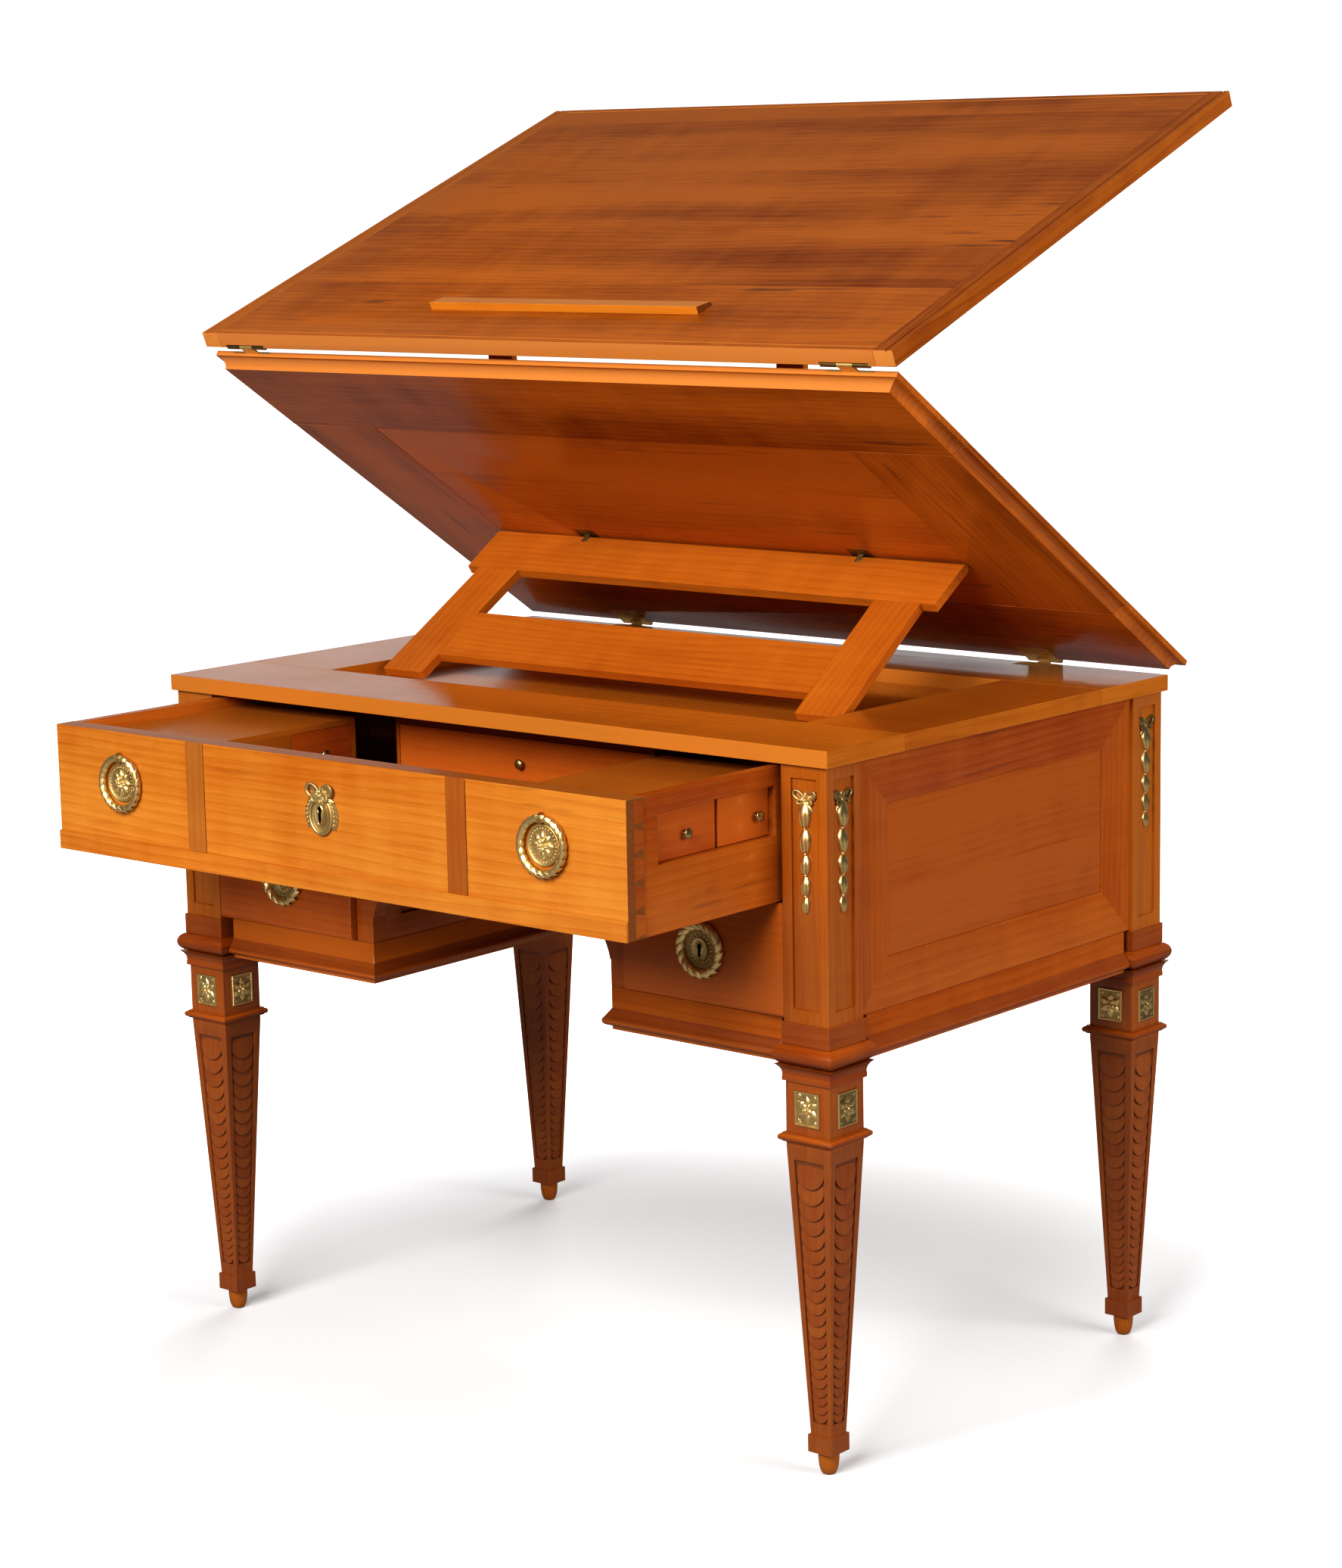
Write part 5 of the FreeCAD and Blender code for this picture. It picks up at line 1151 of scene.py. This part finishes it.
def husk(length, width, rise, rows=10, columns=20):
    """A full bud of three lobes on the XY plane, from its head at the origin down along -Y."""
    levels = [(0.0, False)] + [(row / rows, True) for row in range(rows + 1)] + [(1.0, False)]
    points = []
    for share, stands in levels:
        swell = math.sin(math.pi / 2 * min(share / 0.5, 1))
        taper = max(0, (share - 0.5) / 0.5) ** 1.8
        belly = 0.46 + 0.54 * swell - 0.30 * taper
        full = math.sin(math.pi * (0.16 + 0.66 * share))
        for column in range(columns + 1):
            across = 2 * column / columns - 1
            groove = 0.42 * share * math.exp(-((abs(across) - HUSK_NOTCH) / 0.10) ** 2)
            round_off = math.sqrt(1 - across * across)
            height = rise * full * round_off * (1 - groove) if stands else 0.0
            down = -length * share * husk_reach(abs(across))
            points.append((width / 2 * belly * across, down, height))
    sheet = sheet_faces(len(levels) - 1, columns)
    return points, [(first, fourth, third, second) for first, second, third, fourth in sheet]


LOOP_STEPS = 20


def ribbon_loop(reach, tall, thick):
    """One loop of a bow: a rounded band around a sunk middle, from the origin along +X."""
    shape = Shape()
    path, radii = [], []
    for step in range(LOOP_STEPS):
        turn = math.tau * (step + 0.5) / LOOP_STEPS
        out = 0.5 - 0.5 * math.cos(turn)
        path.append((reach * out, tall / 2 * math.sin(turn) * out ** 0.3,
                     thick * (0.6 + 0.9 * out)))
        radii.append(thick * (0.6 + 0.4 * out))
    shape.add(rod_along(path, radii, 8, closed=True))
    middle = leaf(0.95 * reach, 0.8 * tall, 0.4 * thick, vein=0.6, columns=8)
    shape.add(middle, spin(-math.pi / 2))
    return shape


def bow(shape, place, reach, tall, thick, lift, fall):
    """A tied ribbon: open loops that rise, folded ends that fall, a pleated middle and a knot."""
    for way in (-1, 1):
        side = place @ Matrix.Scale(way, 4, X)
        shape.add(ribbon_loop(reach, tall, thick), side @ spin(lift))
        inner = ribbon_loop(0.62 * reach, 0.55 * tall, 0.9 * thick)
        shape.add(inner, side @ spin(lift - 0.8))
        for share, lean in ((1.0, fall), (0.7, fall - 0.5)):
            end = leaf(share * reach, 0.58 * tall, 2.2 * thick, vein=0.5, columns=8)
            shape.add(end, side @ spin(lean - math.pi / 2))
    for fan in (-1.0, -0.5, 0.0, 0.5, 1.0):
        pleat = leaf(0.6 * reach, 0.36 * reach, 1.9 * thick, vein=0.6, columns=8)
        shape.add(pleat, place @ spin(fan) @ move(0, -0.06 * reach))
    shape.add(bead(1.5 * thick, 1.6), place)


# Head, length and width of each husk below the top of a drop, in millimetres.
HUSKS = ((12.5, 24.0, 15.8), (38.0, 24.0, 14.8), (63.5, 20.0, 13.8), (84.6, 19.6, 12.8),
         (105.4, 16.6, 10.2))


def husk_drop(high):
    """A bow with five husks on a string, with a bead between one and the next."""
    shape = Shape()
    bow(shape, move(0, high - 8.6 * MM), 15.5 * MM, 9.2 * MM, 1.35 * MM, lift=0.52, fall=-0.85)
    for number, (head, length, width) in enumerate(HUSKS):
        shape.add(husk(length * MM, width * MM, 0.40 * width * MM), move(0, high - head * MM))
        if number:
            shape.add(bead(2.2 * MM, 1.5, 12, 4), move(0, high - (head - 1.2) * MM))
    return shape


class TABLE_OT_husk_drops(bpy.types.Operator):
    """Hang a bow with husks in the sunk panels of the posts"""
    bl_idname = "table.husk_drops"
    bl_label = "Husk drops"
    sunk_face = 25 * MM

    def execute(self, context):
        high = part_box("husk_drops")[1]
        shape, drop = Shape(), husk_drop(high.z)
        for leg in LEGS:
            x, y = leg_axis(leg)
            front, way_y = ("-y", -1) if "front" in leg else ("y", 1)
            outer, way_x = ("x", 1) if "right" in leg else ("-x", -1)
            shape.add(drop, facing((x, y + way_y * self.sunk_face, 0), front))
            shape.add(drop, facing((x + way_x * self.sunk_face, y, 0), outer))
        mount("husk_garlands", shape, "carcass", "gilt_bronze", gilding(), "husk_drops")
        return {"FINISHED"}


RING_STEPS = 48
# Where a hung ring's leaves begin to lie close, and how soon they fully do, in radii of the ring.
CLOSE_FROM, CLOSE_OVER = 0.3, 0.35
SPRIG_FAN, SPRIG_RISE, BERRY_SIDE = 1.15, 0.08, 0.55


def wound(part, stand, radius, share):
    """Sets a leaf on a ring's bar and bends it by a share of the ring's own curve."""
    points, faces = part
    bent = []
    for x, y, z in (stand @ Vector(point) for point in points):
        turn = y / radius
        close = Vector(((radius + x) * math.cos(turn), (radius + x) * math.sin(turn), z))
        bent.append(Vector((radius + x, y, z)).lerp(close, share))
    return bent, faces


def laurel_ring(radius, tube, sprigs, relief=0.38, hung=False):
    """A ring of laurel on the XY plane: leaves in threes that lap over each other around a bar.

    A ring that is hung at its far side from the first sprig has its leaves close to the bar there.
    """
    shape = Shape()
    path = [(radius * math.cos(turn), radius * math.sin(turn), 0) for turn in around(RING_STEPS)]
    shape.add(rod_along(path, [0.66 * tube] * RING_STEPS, 12, closed=True))
    step = math.tau / sprigs
    size = radius * step * 1.75
    blade = leaf(size, 0.52 * size, relief * tube, rows=6, columns=6)
    for number in range(sprigs):
        turn = spin(number * step)
        close = 0.0
        if hung:
            close = min(1.0, max(0.0, (-math.cos(number * step) - CLOSE_FROM) / CLOSE_OVER))
        for over in (-SPRIG_FAN, 0.0, SPRIG_FAN):
            stand = Matrix.Rotation(over, 4, "Y") @ move(0, 0, 0.56 * tube) @ tip(SPRIG_RISE)
            shape.add(wound(blade, stand, radius, close), turn)
        if number % 2 == 0:
            berry = Matrix.Rotation(BERRY_SIDE, 4, "Y") @ move(0, 0, 0.78 * tube)
            shape.add(bead(0.2 * tube, 1.0, 8, 3), turn @ move(radius, 0) @ berry)
    return shape


# Radii and heights in millimetres.
PULL_PROFILE = ((21.0, 0), (21.0, 1.6), (20.4, 2.6), (19.4, 2.8), (18.6, 2.2), (17.6, 1.5),
                (12, 1.7), (0.3, 2.4))
PULL_BEADS = 28


def pull_plate():
    """A round backplate with a raised edge, a smooth dish and a large flower on its boss."""
    shape = Shape()
    shape.add(turning_mm(PULL_PROFILE, 48), dull=0.45)
    for turn in around(PULL_BEADS):
        shape.add(bead(0.9 * MM, 1.0, 8, 3), spin(turn) @ move(0, 16.6 * MM, 1.4 * MM))
    flower(shape, move(0, 0, 1.9 * MM), 14.4 * MM, 5.8 * MM, 8, 6)
    return shape


class TABLE_OT_ring_pulls(bpy.types.Operator):
    """Hang the laurel rings on their rosette backplates"""
    bl_idname = "table.ring_pulls"
    bl_label = "Ring pulls"
    eye_steps = 16
    eye_play, eye_wire = 1.1 * MM, 1.3 * MM

    def execute(self, context):
        sprigs = context.scene.table_mounts.laurel
        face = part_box("pull_backplates")[1].y
        plates = Shape()
        for side in ("right", "left"):
            low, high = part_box("ring_" + side)
            middle = (low + high) / 2
            tube = (high.y - low.y) / 2
            radius = (high.x - low.x) / 2 - tube
            hoop = Shape()
            laurel = laurel_ring(radius, tube, sprigs, hung=True)
            hoop.add(laurel, facing(middle, "-y") @ spin(-math.pi / 2))
            mount("laurel_" + side, hoop, "ring_" + side, "gilt_bronze", gilding(), "ring_" + side)
            plates.add(pull_plate(), facing((middle.x, face, middle.z), "-y"))
            stem = tube + self.eye_play
            path = [(0, stem * math.cos(turn), stem * math.sin(turn))
                    for turn in around(self.eye_steps)]
            eye = rod_along(path, [self.eye_wire] * self.eye_steps, 8, closed=True)
            plates.add(eye, move(middle.x, middle.y, middle.z + radius))
        mount("pull_rosettes", plates, "frieze_drawer", "gilt_bronze", gilding(), "pull_backplates")
        return {"FINISHED"}


BOSS_THICK = 3.8 * MM
KEY_EYE, KEY_SLOT = 2.9 * MM, 1.8 * MM


def keyhole_boss(wide, tall, below, drop):
    """An oval boss whose keyhole's eye stands over its middle, and the iron behind it."""
    hole = keyhole(KEY_EYE, KEY_SLOT, drop)
    edge = [Vector((wide * math.cos(turn), tall * math.sin(turn) - below))
            for turn in around(KEY_SIDES)]
    return keyhole_plate(edge, BOSS_THICK, hole), key_cup(BOSS_THICK, hole)


class TABLE_OT_bow_lock(bpy.types.Operator):
    """Put the bow with laurel and the keyhole at the middle of the wide drawer"""
    bl_idname = "table.bow_lock"
    bl_label = "Bow lock plate"
    wide, tall = 15.4 * MM, 18.6 * MM
    rim = 1.9 * MM
    eye_above = 6.6 * MM
    # Radii in shares of the oval, and heights.
    ground = ((1.0, 0), (1.0, 2.2 * MM), (0.9, 1.5 * MM), (0.75, 0.9 * MM), (0.45, 1.0 * MM))

    def execute(self, context):
        low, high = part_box("bow_escutcheon")
        stand = facing(((low.x + high.x) / 2, high.y, low.z + self.tall + self.rim), "-y")
        shape = Shape()
        ring = [(self.wide * math.cos(turn), self.tall * math.sin(turn), 2.0 * MM)
                for turn in around(RING_STEPS)]
        shape.add(rod_along(ring, [self.rim] * RING_STEPS, 10, closed=True))
        points, faces = turning(self.ground, RING_STEPS)
        oval = [(x * self.wide, y * self.tall, z) for x, y, z in points]
        shape.add((oval, faces[:-1]), dull=0.5)
        boss, cup = keyhole_boss(8.0 * MM, 12.4 * MM, 4.4 * MM, 13.6 * MM)
        shape.add(boss, move(0, self.eye_above), dull=0.1)
        for way in (-1, 1):
            self.garland(shape, way)
        bow(shape, move(0, 20.5 * MM, 1.2 * MM), 19.5 * MM, 15.0 * MM, 1.7 * MM,
            lift=0.44, fall=-0.26)
        placed = Shape()
        placed.add(shape, stand)
        mount("bow_lock", placed, "frieze_drawer", "gilt_bronze", gilding(), "bow_escutcheon")
        iron = Shape()
        iron.add(cup, stand @ move(0, self.eye_above))
        mount("bow_lock_iron", iron, "frieze_drawer", "gilt_bronze", shaded_lock_iron())
        return {"FINISHED"}

    def garland(self, shape, way):
        """Leaves and berries that hang from the bow along one side of the oval."""
        for number in range(7):
            angle = 0.95 - 0.22 * number
            x = way * (self.wide + 4.0 * MM) * math.cos(angle)
            y = (self.tall + 2.0 * MM) * math.sin(angle)
            hang = math.atan2(-math.cos(angle), way * math.sin(angle)) - math.pi / 2
            for fan in (0.55, 0.0, -0.55):
                sprig = small_leaf(7.4, 3.9, 2.4, rows=6)
                shape.add(sprig, move(x, y, 0.3 * MM) @ spin(hang + fan))
            shape.add(bead(1.5 * MM, 2.2, 10, 4), move(x, y))


class TABLE_OT_wreath_locks(bpy.types.Operator):
    """Put a round laurel lock plate on each pedestal drawer"""
    bl_idname = "table.wreath_locks"
    bl_label = "Wreath lock plates"
    # Radii and heights in millimetres.
    dish = ((24, 0), (24, 1.8), (21.6, 2.2), (19, 1.4), (17.5, 1.9), (16.5, 1.3), (11, 1.2))
    tube, bedded = 3.6 * MM, 0.8 * MM
    fewer_sprigs, inner_leaves = 5, 20
    eye_above = 3.2 * MM

    def execute(self, context):
        sprigs = context.scene.table_mounts.laurel - self.fewer_sprigs
        for side in ("right", "left"):
            node, body = "pedestal_escutcheon_" + side, "pedestal_drawer_" + side
            low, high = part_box(node)
            middle = (low + high) / 2
            radius = (high.x - low.x) / 2 - self.tube
            stand = facing((middle.x, high.y, middle.z), "-y")
            shape = Shape()
            wreath = laurel_ring(radius, self.tube, sprigs, relief=0.6)
            shape.add(wreath, stand @ move(0, 0, self.tube - self.bedded) @ spin(-math.pi / 2))
            points, faces = turning_mm(self.dish, 40)
            shape.add((points, faces[:-1]), stand, dull=0.7)
            for turn in around(self.inner_leaves):
                place = stand @ spin(turn) @ move(0, 11.6 * MM, 1.2 * MM)
                shape.add(small_leaf(4.6, 2.9, 1.2), place, dull=0.45)
            boss, cup = keyhole_boss(10.5 * MM, 12.4 * MM, 3.2 * MM, 10.8 * MM)
            shape.add(boss, stand @ move(0, self.eye_above), dull=0.35)
            mount("wreath_lock_" + side, shape, body, "gilt_bronze", gilding(), node)
            iron = Shape()
            iron.add(cup, stand @ move(0, self.eye_above))
            mount("wreath_lock_iron_" + side, iron, body, "gilt_bronze", shaded_lock_iron())
        return {"FINISHED"}


# Radii and heights in shares of a knob's radius and length.
KNOB_PROFILE = ((0.62, 0), (0.62, 0.06), (0.40, 0.12), (0.36, 0.32), (0.50, 0.42), (0.80, 0.50),
                (0.97, 0.60), (1.0, 0.70), (0.93, 0.80), (0.72, 0.90), (0.42, 0.97), (0.05, 1.0))
FACING_LEFT = ("outer_front_left", "outer_back_left", "inner_right")


class TABLE_OT_knobs(bpy.types.Operator):
    """Turn the brass knobs of the small drawers"""
    bl_idname = "table.knobs"
    bl_label = "Small knobs"
    fuller = 1.12

    def execute(self, context):
        for name in SMALL_DRAWERS:
            node = "small_knob_" + name
            low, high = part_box(node)
            middle, span = (low + high) / 2, high - low
            side = "-y" if name == "rear" else "-x" if name in FACING_LEFT else "x"
            length = span.y if side == "-y" else span.x
            radius = self.fuller * span.z / 2
            root = middle.copy()
            if side == "-y":
                root.y = high.y
            else:
                root.x = low.x if side == "x" else high.x
            shape = Shape()
            profile = [(r * radius, h * length) for r, h in KNOB_PROFILE]
            shape.add(turning(profile, 28), facing(root, side))
            mount("turned_knob_" + name, shape, BODY_OF[node], "brass", brass(), node)
        return {"FINISHED"}


# Hinges.

SCREW_SIDES = 12
# Levels of the lips beside the slot, in shares of the head's radius.
SCREW_LIPS = (0.02, 0.085)


def screw(radius):
    """A countersunk head with a slot, its face on the XY plane."""
    shape = Shape()
    head = ((radius, -0.4 * radius), (radius, 0), (0.9 * radius, 0.02 * radius))
    shape.add(turning(head, 20))
    for way in (-1, 1):
        points = []
        for level in SCREW_LIPS:
            for step in range(SCREW_SIDES):
                angle = math.pi * step / (SCREW_SIDES - 1)
                x, y = 0.86 * radius * math.cos(angle), 0.86 * radius * math.sin(angle)
                points.append((x, way * (0.16 * radius + 0.8 * y), level * radius))
        faces = rings_to_faces(2, SCREW_SIDES) + end_faces(2, SCREW_SIDES)[1:]
        shape.add((points, faces if way > 0 else [face[::-1] for face in faces]))
    return shape


def leaf_turn(upper=False):
    """Turns a place on the shut lower or upper leaf to where it stands at rest."""
    hinge = JOINTS["lower_leaf_hinge"]
    pivot = Matrix.Translation(hinge["pos_m"])
    place = pivot @ tip(tilt_of("lower_leaf")) @ pivot.inverted()
    if upper:
        fold = Matrix.Translation(place.inverted() @ Vector(JOINTS["upper_leaf_hinge"]["pos_m"]))
        bend = tilt_of("upper_leaf") - tilt_of("lower_leaf")
        place = place @ fold @ tip(bend) @ fold.inverted()
    return place


class TABLE_OT_hinges(bpy.types.Operator):
    """Finish the hinges and brackets in brass and set their screws"""
    bl_idname = "table.hinges"
    bl_label = "Hinges"
    back_x, fold_x = 303 * MM, 425 * MM
    screw_radius = 2.3 * MM
    # Screws across a back hinge in millimetres; those of the fold hinges stand wider apart.
    row, fold_wider = (-14, 0, 14), 1.5
    # How far the screws stand from the back edge and from the fold, and how the plates lie apart.
    off_back, off_fold_lower, off_fold_upper = 13 * MM, 22 * MM, 16 * MM
    back_gap, fold_half_gap = 0.5 * MM, 0.25 * MM

    def execute(self, context):
        for node, slot in SLOTS.items():
            if slot == "brass" and not node.startswith("small_knob"):
                NODES[node].data.materials.clear()
                NODES[node].data.materials.append(hinge_brass(node))
        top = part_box("top_rails")[1]
        fixed, lower, upper = Shape(), Shape(), Shape()
        head, over = screw(self.screw_radius), tip(math.pi)
        lower_turn, upper_turn = leaf_turn(), leaf_turn(upper=True)
        fold = lower_turn.inverted() @ Vector(JOINTS["upper_leaf_hinge"]["pos_m"])
        back_y = top.y - self.off_back
        for way in (-1, 1):
            for step in self.row:
                x = way * self.back_x + step * MM
                fixed.add(head, move(x, back_y, top.z))
                lower.add(head, lower_turn @ move(x, back_y, top.z + self.back_gap) @ over)
                x = way * self.fold_x + self.fold_wider * step * MM
                lower.add(head, lower_turn @ move(x, fold.y + self.off_fold_lower,
                                                  fold.z - self.fold_half_gap))
                upper.add(head, upper_turn @ move(x, fold.y + self.off_fold_upper,
                                                  fold.z + self.fold_half_gap) @ over)
        for body, shape in (("carcass", fixed), ("lower_leaf", lower), ("upper_leaf", upper)):
            mount("hinge_screws_" + body, shape, body, "brass", brass())
        return {"FINISHED"}


# Studio.

FLOOR_REACH = 14
FLOOR_WHITES = (0.80, 0.80, 0.80, 1), (0.82, 0.82, 0.82, 1)
FLOOR_BOUNCE = (0.30, 0.30, 0.30, 1)
BLACK, WHITE = (0, 0, 0, 1), (1, 1, 1, 1)
# From here to there, in metres from the table's middle, the floor fades into the white.
FADE = (0.45, 1.25)
FADE_SHARE, FADE_BASE = 0.92, 0.08


def floor_finish():
    """White to the camera, greyer to the light that it throws back on the table."""
    finish, tree, shader = new_finish("Studio floor")
    shader.inputs["Roughness"].default_value = 0.7
    shader.inputs["Specular IOR Level"].default_value = 0.1
    place = add_node(tree, "ShaderNodeTexCoord").outputs["Object"]
    seen = add_node(tree, "ShaderNodeLightPath").outputs["Is Camera Ray"]
    white = mix_colour(tree, noise(tree, place, scale=2.0), *FLOOR_WHITES)
    tree.links.new(mix_colour(tree, seen, FLOOR_BOUNCE, white), shader.inputs["Base Color"])
    reach = add_node(tree, "ShaderNodeVectorMath", operation="LENGTH")
    tree.links.new(place, reach.inputs[0])
    fade = climb(tree, reach.outputs["Value"], *FADE)
    far = total(tree, times(tree, fade, FADE_SHARE), FADE_BASE)
    glow = mix_colour(tree, times(tree, far, seen), BLACK, WHITE)
    tree.links.new(glow, shader.inputs["Emission Color"])
    shader.inputs["Emission Strength"].default_value = 1.0
    return finish


# Which way the backdrop stands, how high it reaches and how far it goes around.
BACKDROP_TOWARD = (-0.65, 0.76, 0)
BACKDROP_HIGH, BACKDROP_AROUND = (0.08, 0.5), (0.25, 0.9)
BACKDROP_SHARE, BACKDROP_BASE = 0.86, 0.14


def surround(strength):
    """White to the camera; for light and reflections a bright backdrop low behind the table."""
    world = bpy.data.worlds.new("White surround")
    world.use_nodes = True
    tree = world.node_tree
    ground = node_of(tree, "BACKGROUND")
    toward = add_node(tree, "ShaderNodeTexCoord").outputs["Generated"]
    behind = add_node(tree, "ShaderNodeVectorMath", operation="DOT_PRODUCT")
    tree.links.new(toward, behind.inputs[0])
    behind.inputs[1].default_value = BACKDROP_TOWARD
    high = climb(tree, split_xyz(tree, toward)["Z"], *BACKDROP_HIGH)
    backdrop = times(tree, calc(tree, "SUBTRACT", 1.0, high),
                     climb(tree, behind.outputs["Value"], *BACKDROP_AROUND))
    glow = total(tree, times(tree, backdrop, BACKDROP_SHARE), BACKDROP_BASE)
    seen = add_node(tree, "ShaderNodeLightPath").outputs["Is Camera Ray"]
    brightest = calc(tree, "MAXIMUM", times(tree, glow, strength), seen)
    tree.links.new(brightest, ground.inputs["Strength"])
    ground.inputs["Color"].default_value = WHITE
    return world


def set_up(name, lamp, at, toward, power):
    """Sets a lamp in the studio so that it shines toward a point."""
    lamp.energy = power
    stand = bpy.data.objects.new(name, lamp)
    stand.location = at
    stand.rotation_euler = (Vector(toward) - Vector(at)).to_track_quat("-Z", "Y").to_euler()
    bpy.context.scene.collection.objects.link(stand)
    return stand


def soft_light(name, at, toward, size, power):
    """A wide panel of light."""
    lamp = bpy.data.lights.new(name, "AREA")
    lamp.shape = "RECTANGLE"
    lamp.size, lamp.size_y = size
    return set_up(name, lamp, at, toward, power)


def narrow_light(name, at, toward, wide, power):
    """A round lamp with a soft pool of light."""
    lamp = bpy.data.lights.new(name, "SPOT")
    lamp.spot_size, lamp.spot_blend = wide, 0.8
    lamp.shadow_soft_size = 0.15
    return set_up(name, lamp, at, toward, power)


# Only the key light shows in polished faces.
SOFT_LIGHTS = {
    "key": dict(at=(0.6, -3.5, 2.6), toward=(0, 0, 0.8), size=(2.6, 1.8)),
    "fill": dict(at=(3.3, 0.5, 1.5), toward=(0, 0.1, 0.7), size=(2.0, 1.6)),
    "back": dict(at=(-1.8, 3.6, 2.2), toward=(0, 0, 0.7), size=(2.4, 1.8)),
}
LOW_LIGHT = dict(at=(0.0, -2.2, 0.36), toward=(-0.24, -0.22, 0.46), wide=math.radians(13))
SENSOR_MM, CLIP_END = 36, 60


def camera_turn(studio):
    """The camera's axes from its yaw, pitch and roll."""
    ahead = Vector((-math.sin(studio.yaw) * math.cos(studio.pitch),
                    math.cos(studio.yaw) * math.cos(studio.pitch),
                    -math.sin(studio.pitch)))
    right = Vector((math.cos(studio.yaw), math.sin(studio.yaw), 0))
    up = right.cross(ahead)
    level = math.cos(studio.roll) * right + math.sin(studio.roll) * up
    upright = -math.sin(studio.roll) * right + math.cos(studio.roll) * up
    return Matrix((level, upright, -ahead)).transposed().to_4x4()


class TABLE_OT_studio(bpy.types.Operator):
    """Lay the pale floor, set the lights and the camera"""
    bl_idname = "table.studio"
    bl_label = "Studio"

    def execute(self, context):
        studio = context.scene.table_studio
        shape = Shape()
        corners = [(sx * FLOOR_REACH, sy * FLOOR_REACH, 0)
                   for sx, sy in ((-1, -1), (1, -1), (1, 1), (-1, 1))]
        shape.add((corners, [(0, 1, 2, 3)]))
        floor = bpy.data.objects.new("studio_floor", shape.mesh("studio_floor", smooth=False))
        context.scene.collection.objects.link(floor)
        floor.data.materials.append(floor_finish())
        for name, light in SOFT_LIGHTS.items():
            lamp = soft_light(name, power=getattr(studio, name), **light)
            lamp.visible_glossy = name == "key"
        narrow_light("low", power=studio.low, **LOW_LIGHT)
        context.scene.world = surround(studio.sky)
        context.scene.view_settings.view_transform = "Standard"
        context.scene.view_settings.look = "Medium High Contrast"
        eye = bpy.data.cameras.new("camera")
        eye.sensor_fit = "HORIZONTAL"
        eye.sensor_width = SENSOR_MM
        eye.lens = studio.lens
        eye.clip_end = CLIP_END
        stand = bpy.data.objects.new("camera", eye)
        stand.matrix_world = Matrix.Translation(studio.camera_at) @ camera_turn(studio)
        context.scene.collection.objects.link(stand)
        context.scene.camera = stand
        return {"FINISHED"}


PIECES = (TABLE_OT_boards, TABLE_OT_dovetails, TABLE_OT_leg_scales, TABLE_OT_foot_tips,
          TABLE_OT_rosettes, TABLE_OT_husk_drops, TABLE_OT_ring_pulls, TABLE_OT_bow_lock,
          TABLE_OT_wreath_locks, TABLE_OT_knobs, TABLE_OT_hinges, TABLE_OT_studio)
SETTINGS = {"table_wood": WoodSettings, "table_carving": CarvingSettings,
            "table_mounts": MountSettings, "table_studio": StudioSettings}


class TABLE_PT_pieces(bpy.types.Panel):
    """Lists the table's pieces and settings"""
    bl_idname = "TABLE_PT_pieces"
    bl_label = "Architect's table"
    bl_space_type = "VIEW_3D"
    bl_region_type = "UI"
    bl_category = "Table"

    def draw(self, context):
        for name, group in SETTINGS.items():
            box = self.layout.box()
            for setting in group.__annotations__:
                box.prop(getattr(context.scene, name), setting)
        for piece in PIECES:
            self.layout.operator(piece.bl_idname)


def register():
    """Adds the settings, the pieces and the panel."""
    for group in SETTINGS.values():
        bpy.utils.register_class(group)
    for name, group in SETTINGS.items():
        setattr(bpy.types.Scene, name, PointerProperty(type=group))
    for piece in (*PIECES, TABLE_PT_pieces):
        bpy.utils.register_class(piece)


def unregister():
    """Takes the panel, the pieces and the settings away again."""
    for piece in (TABLE_PT_pieces, *reversed(PIECES)):
        bpy.utils.unregister_class(piece)
    for name, group in SETTINGS.items():
        delattr(bpy.types.Scene, name)
        bpy.utils.unregister_class(group)


def main():
    """Builds every piece in turn."""
    register()
    for piece in PIECES:
        family, name = piece.bl_idname.split(".")
        getattr(getattr(bpy.ops, family), name)()


if __name__ == "__main__":
    main()
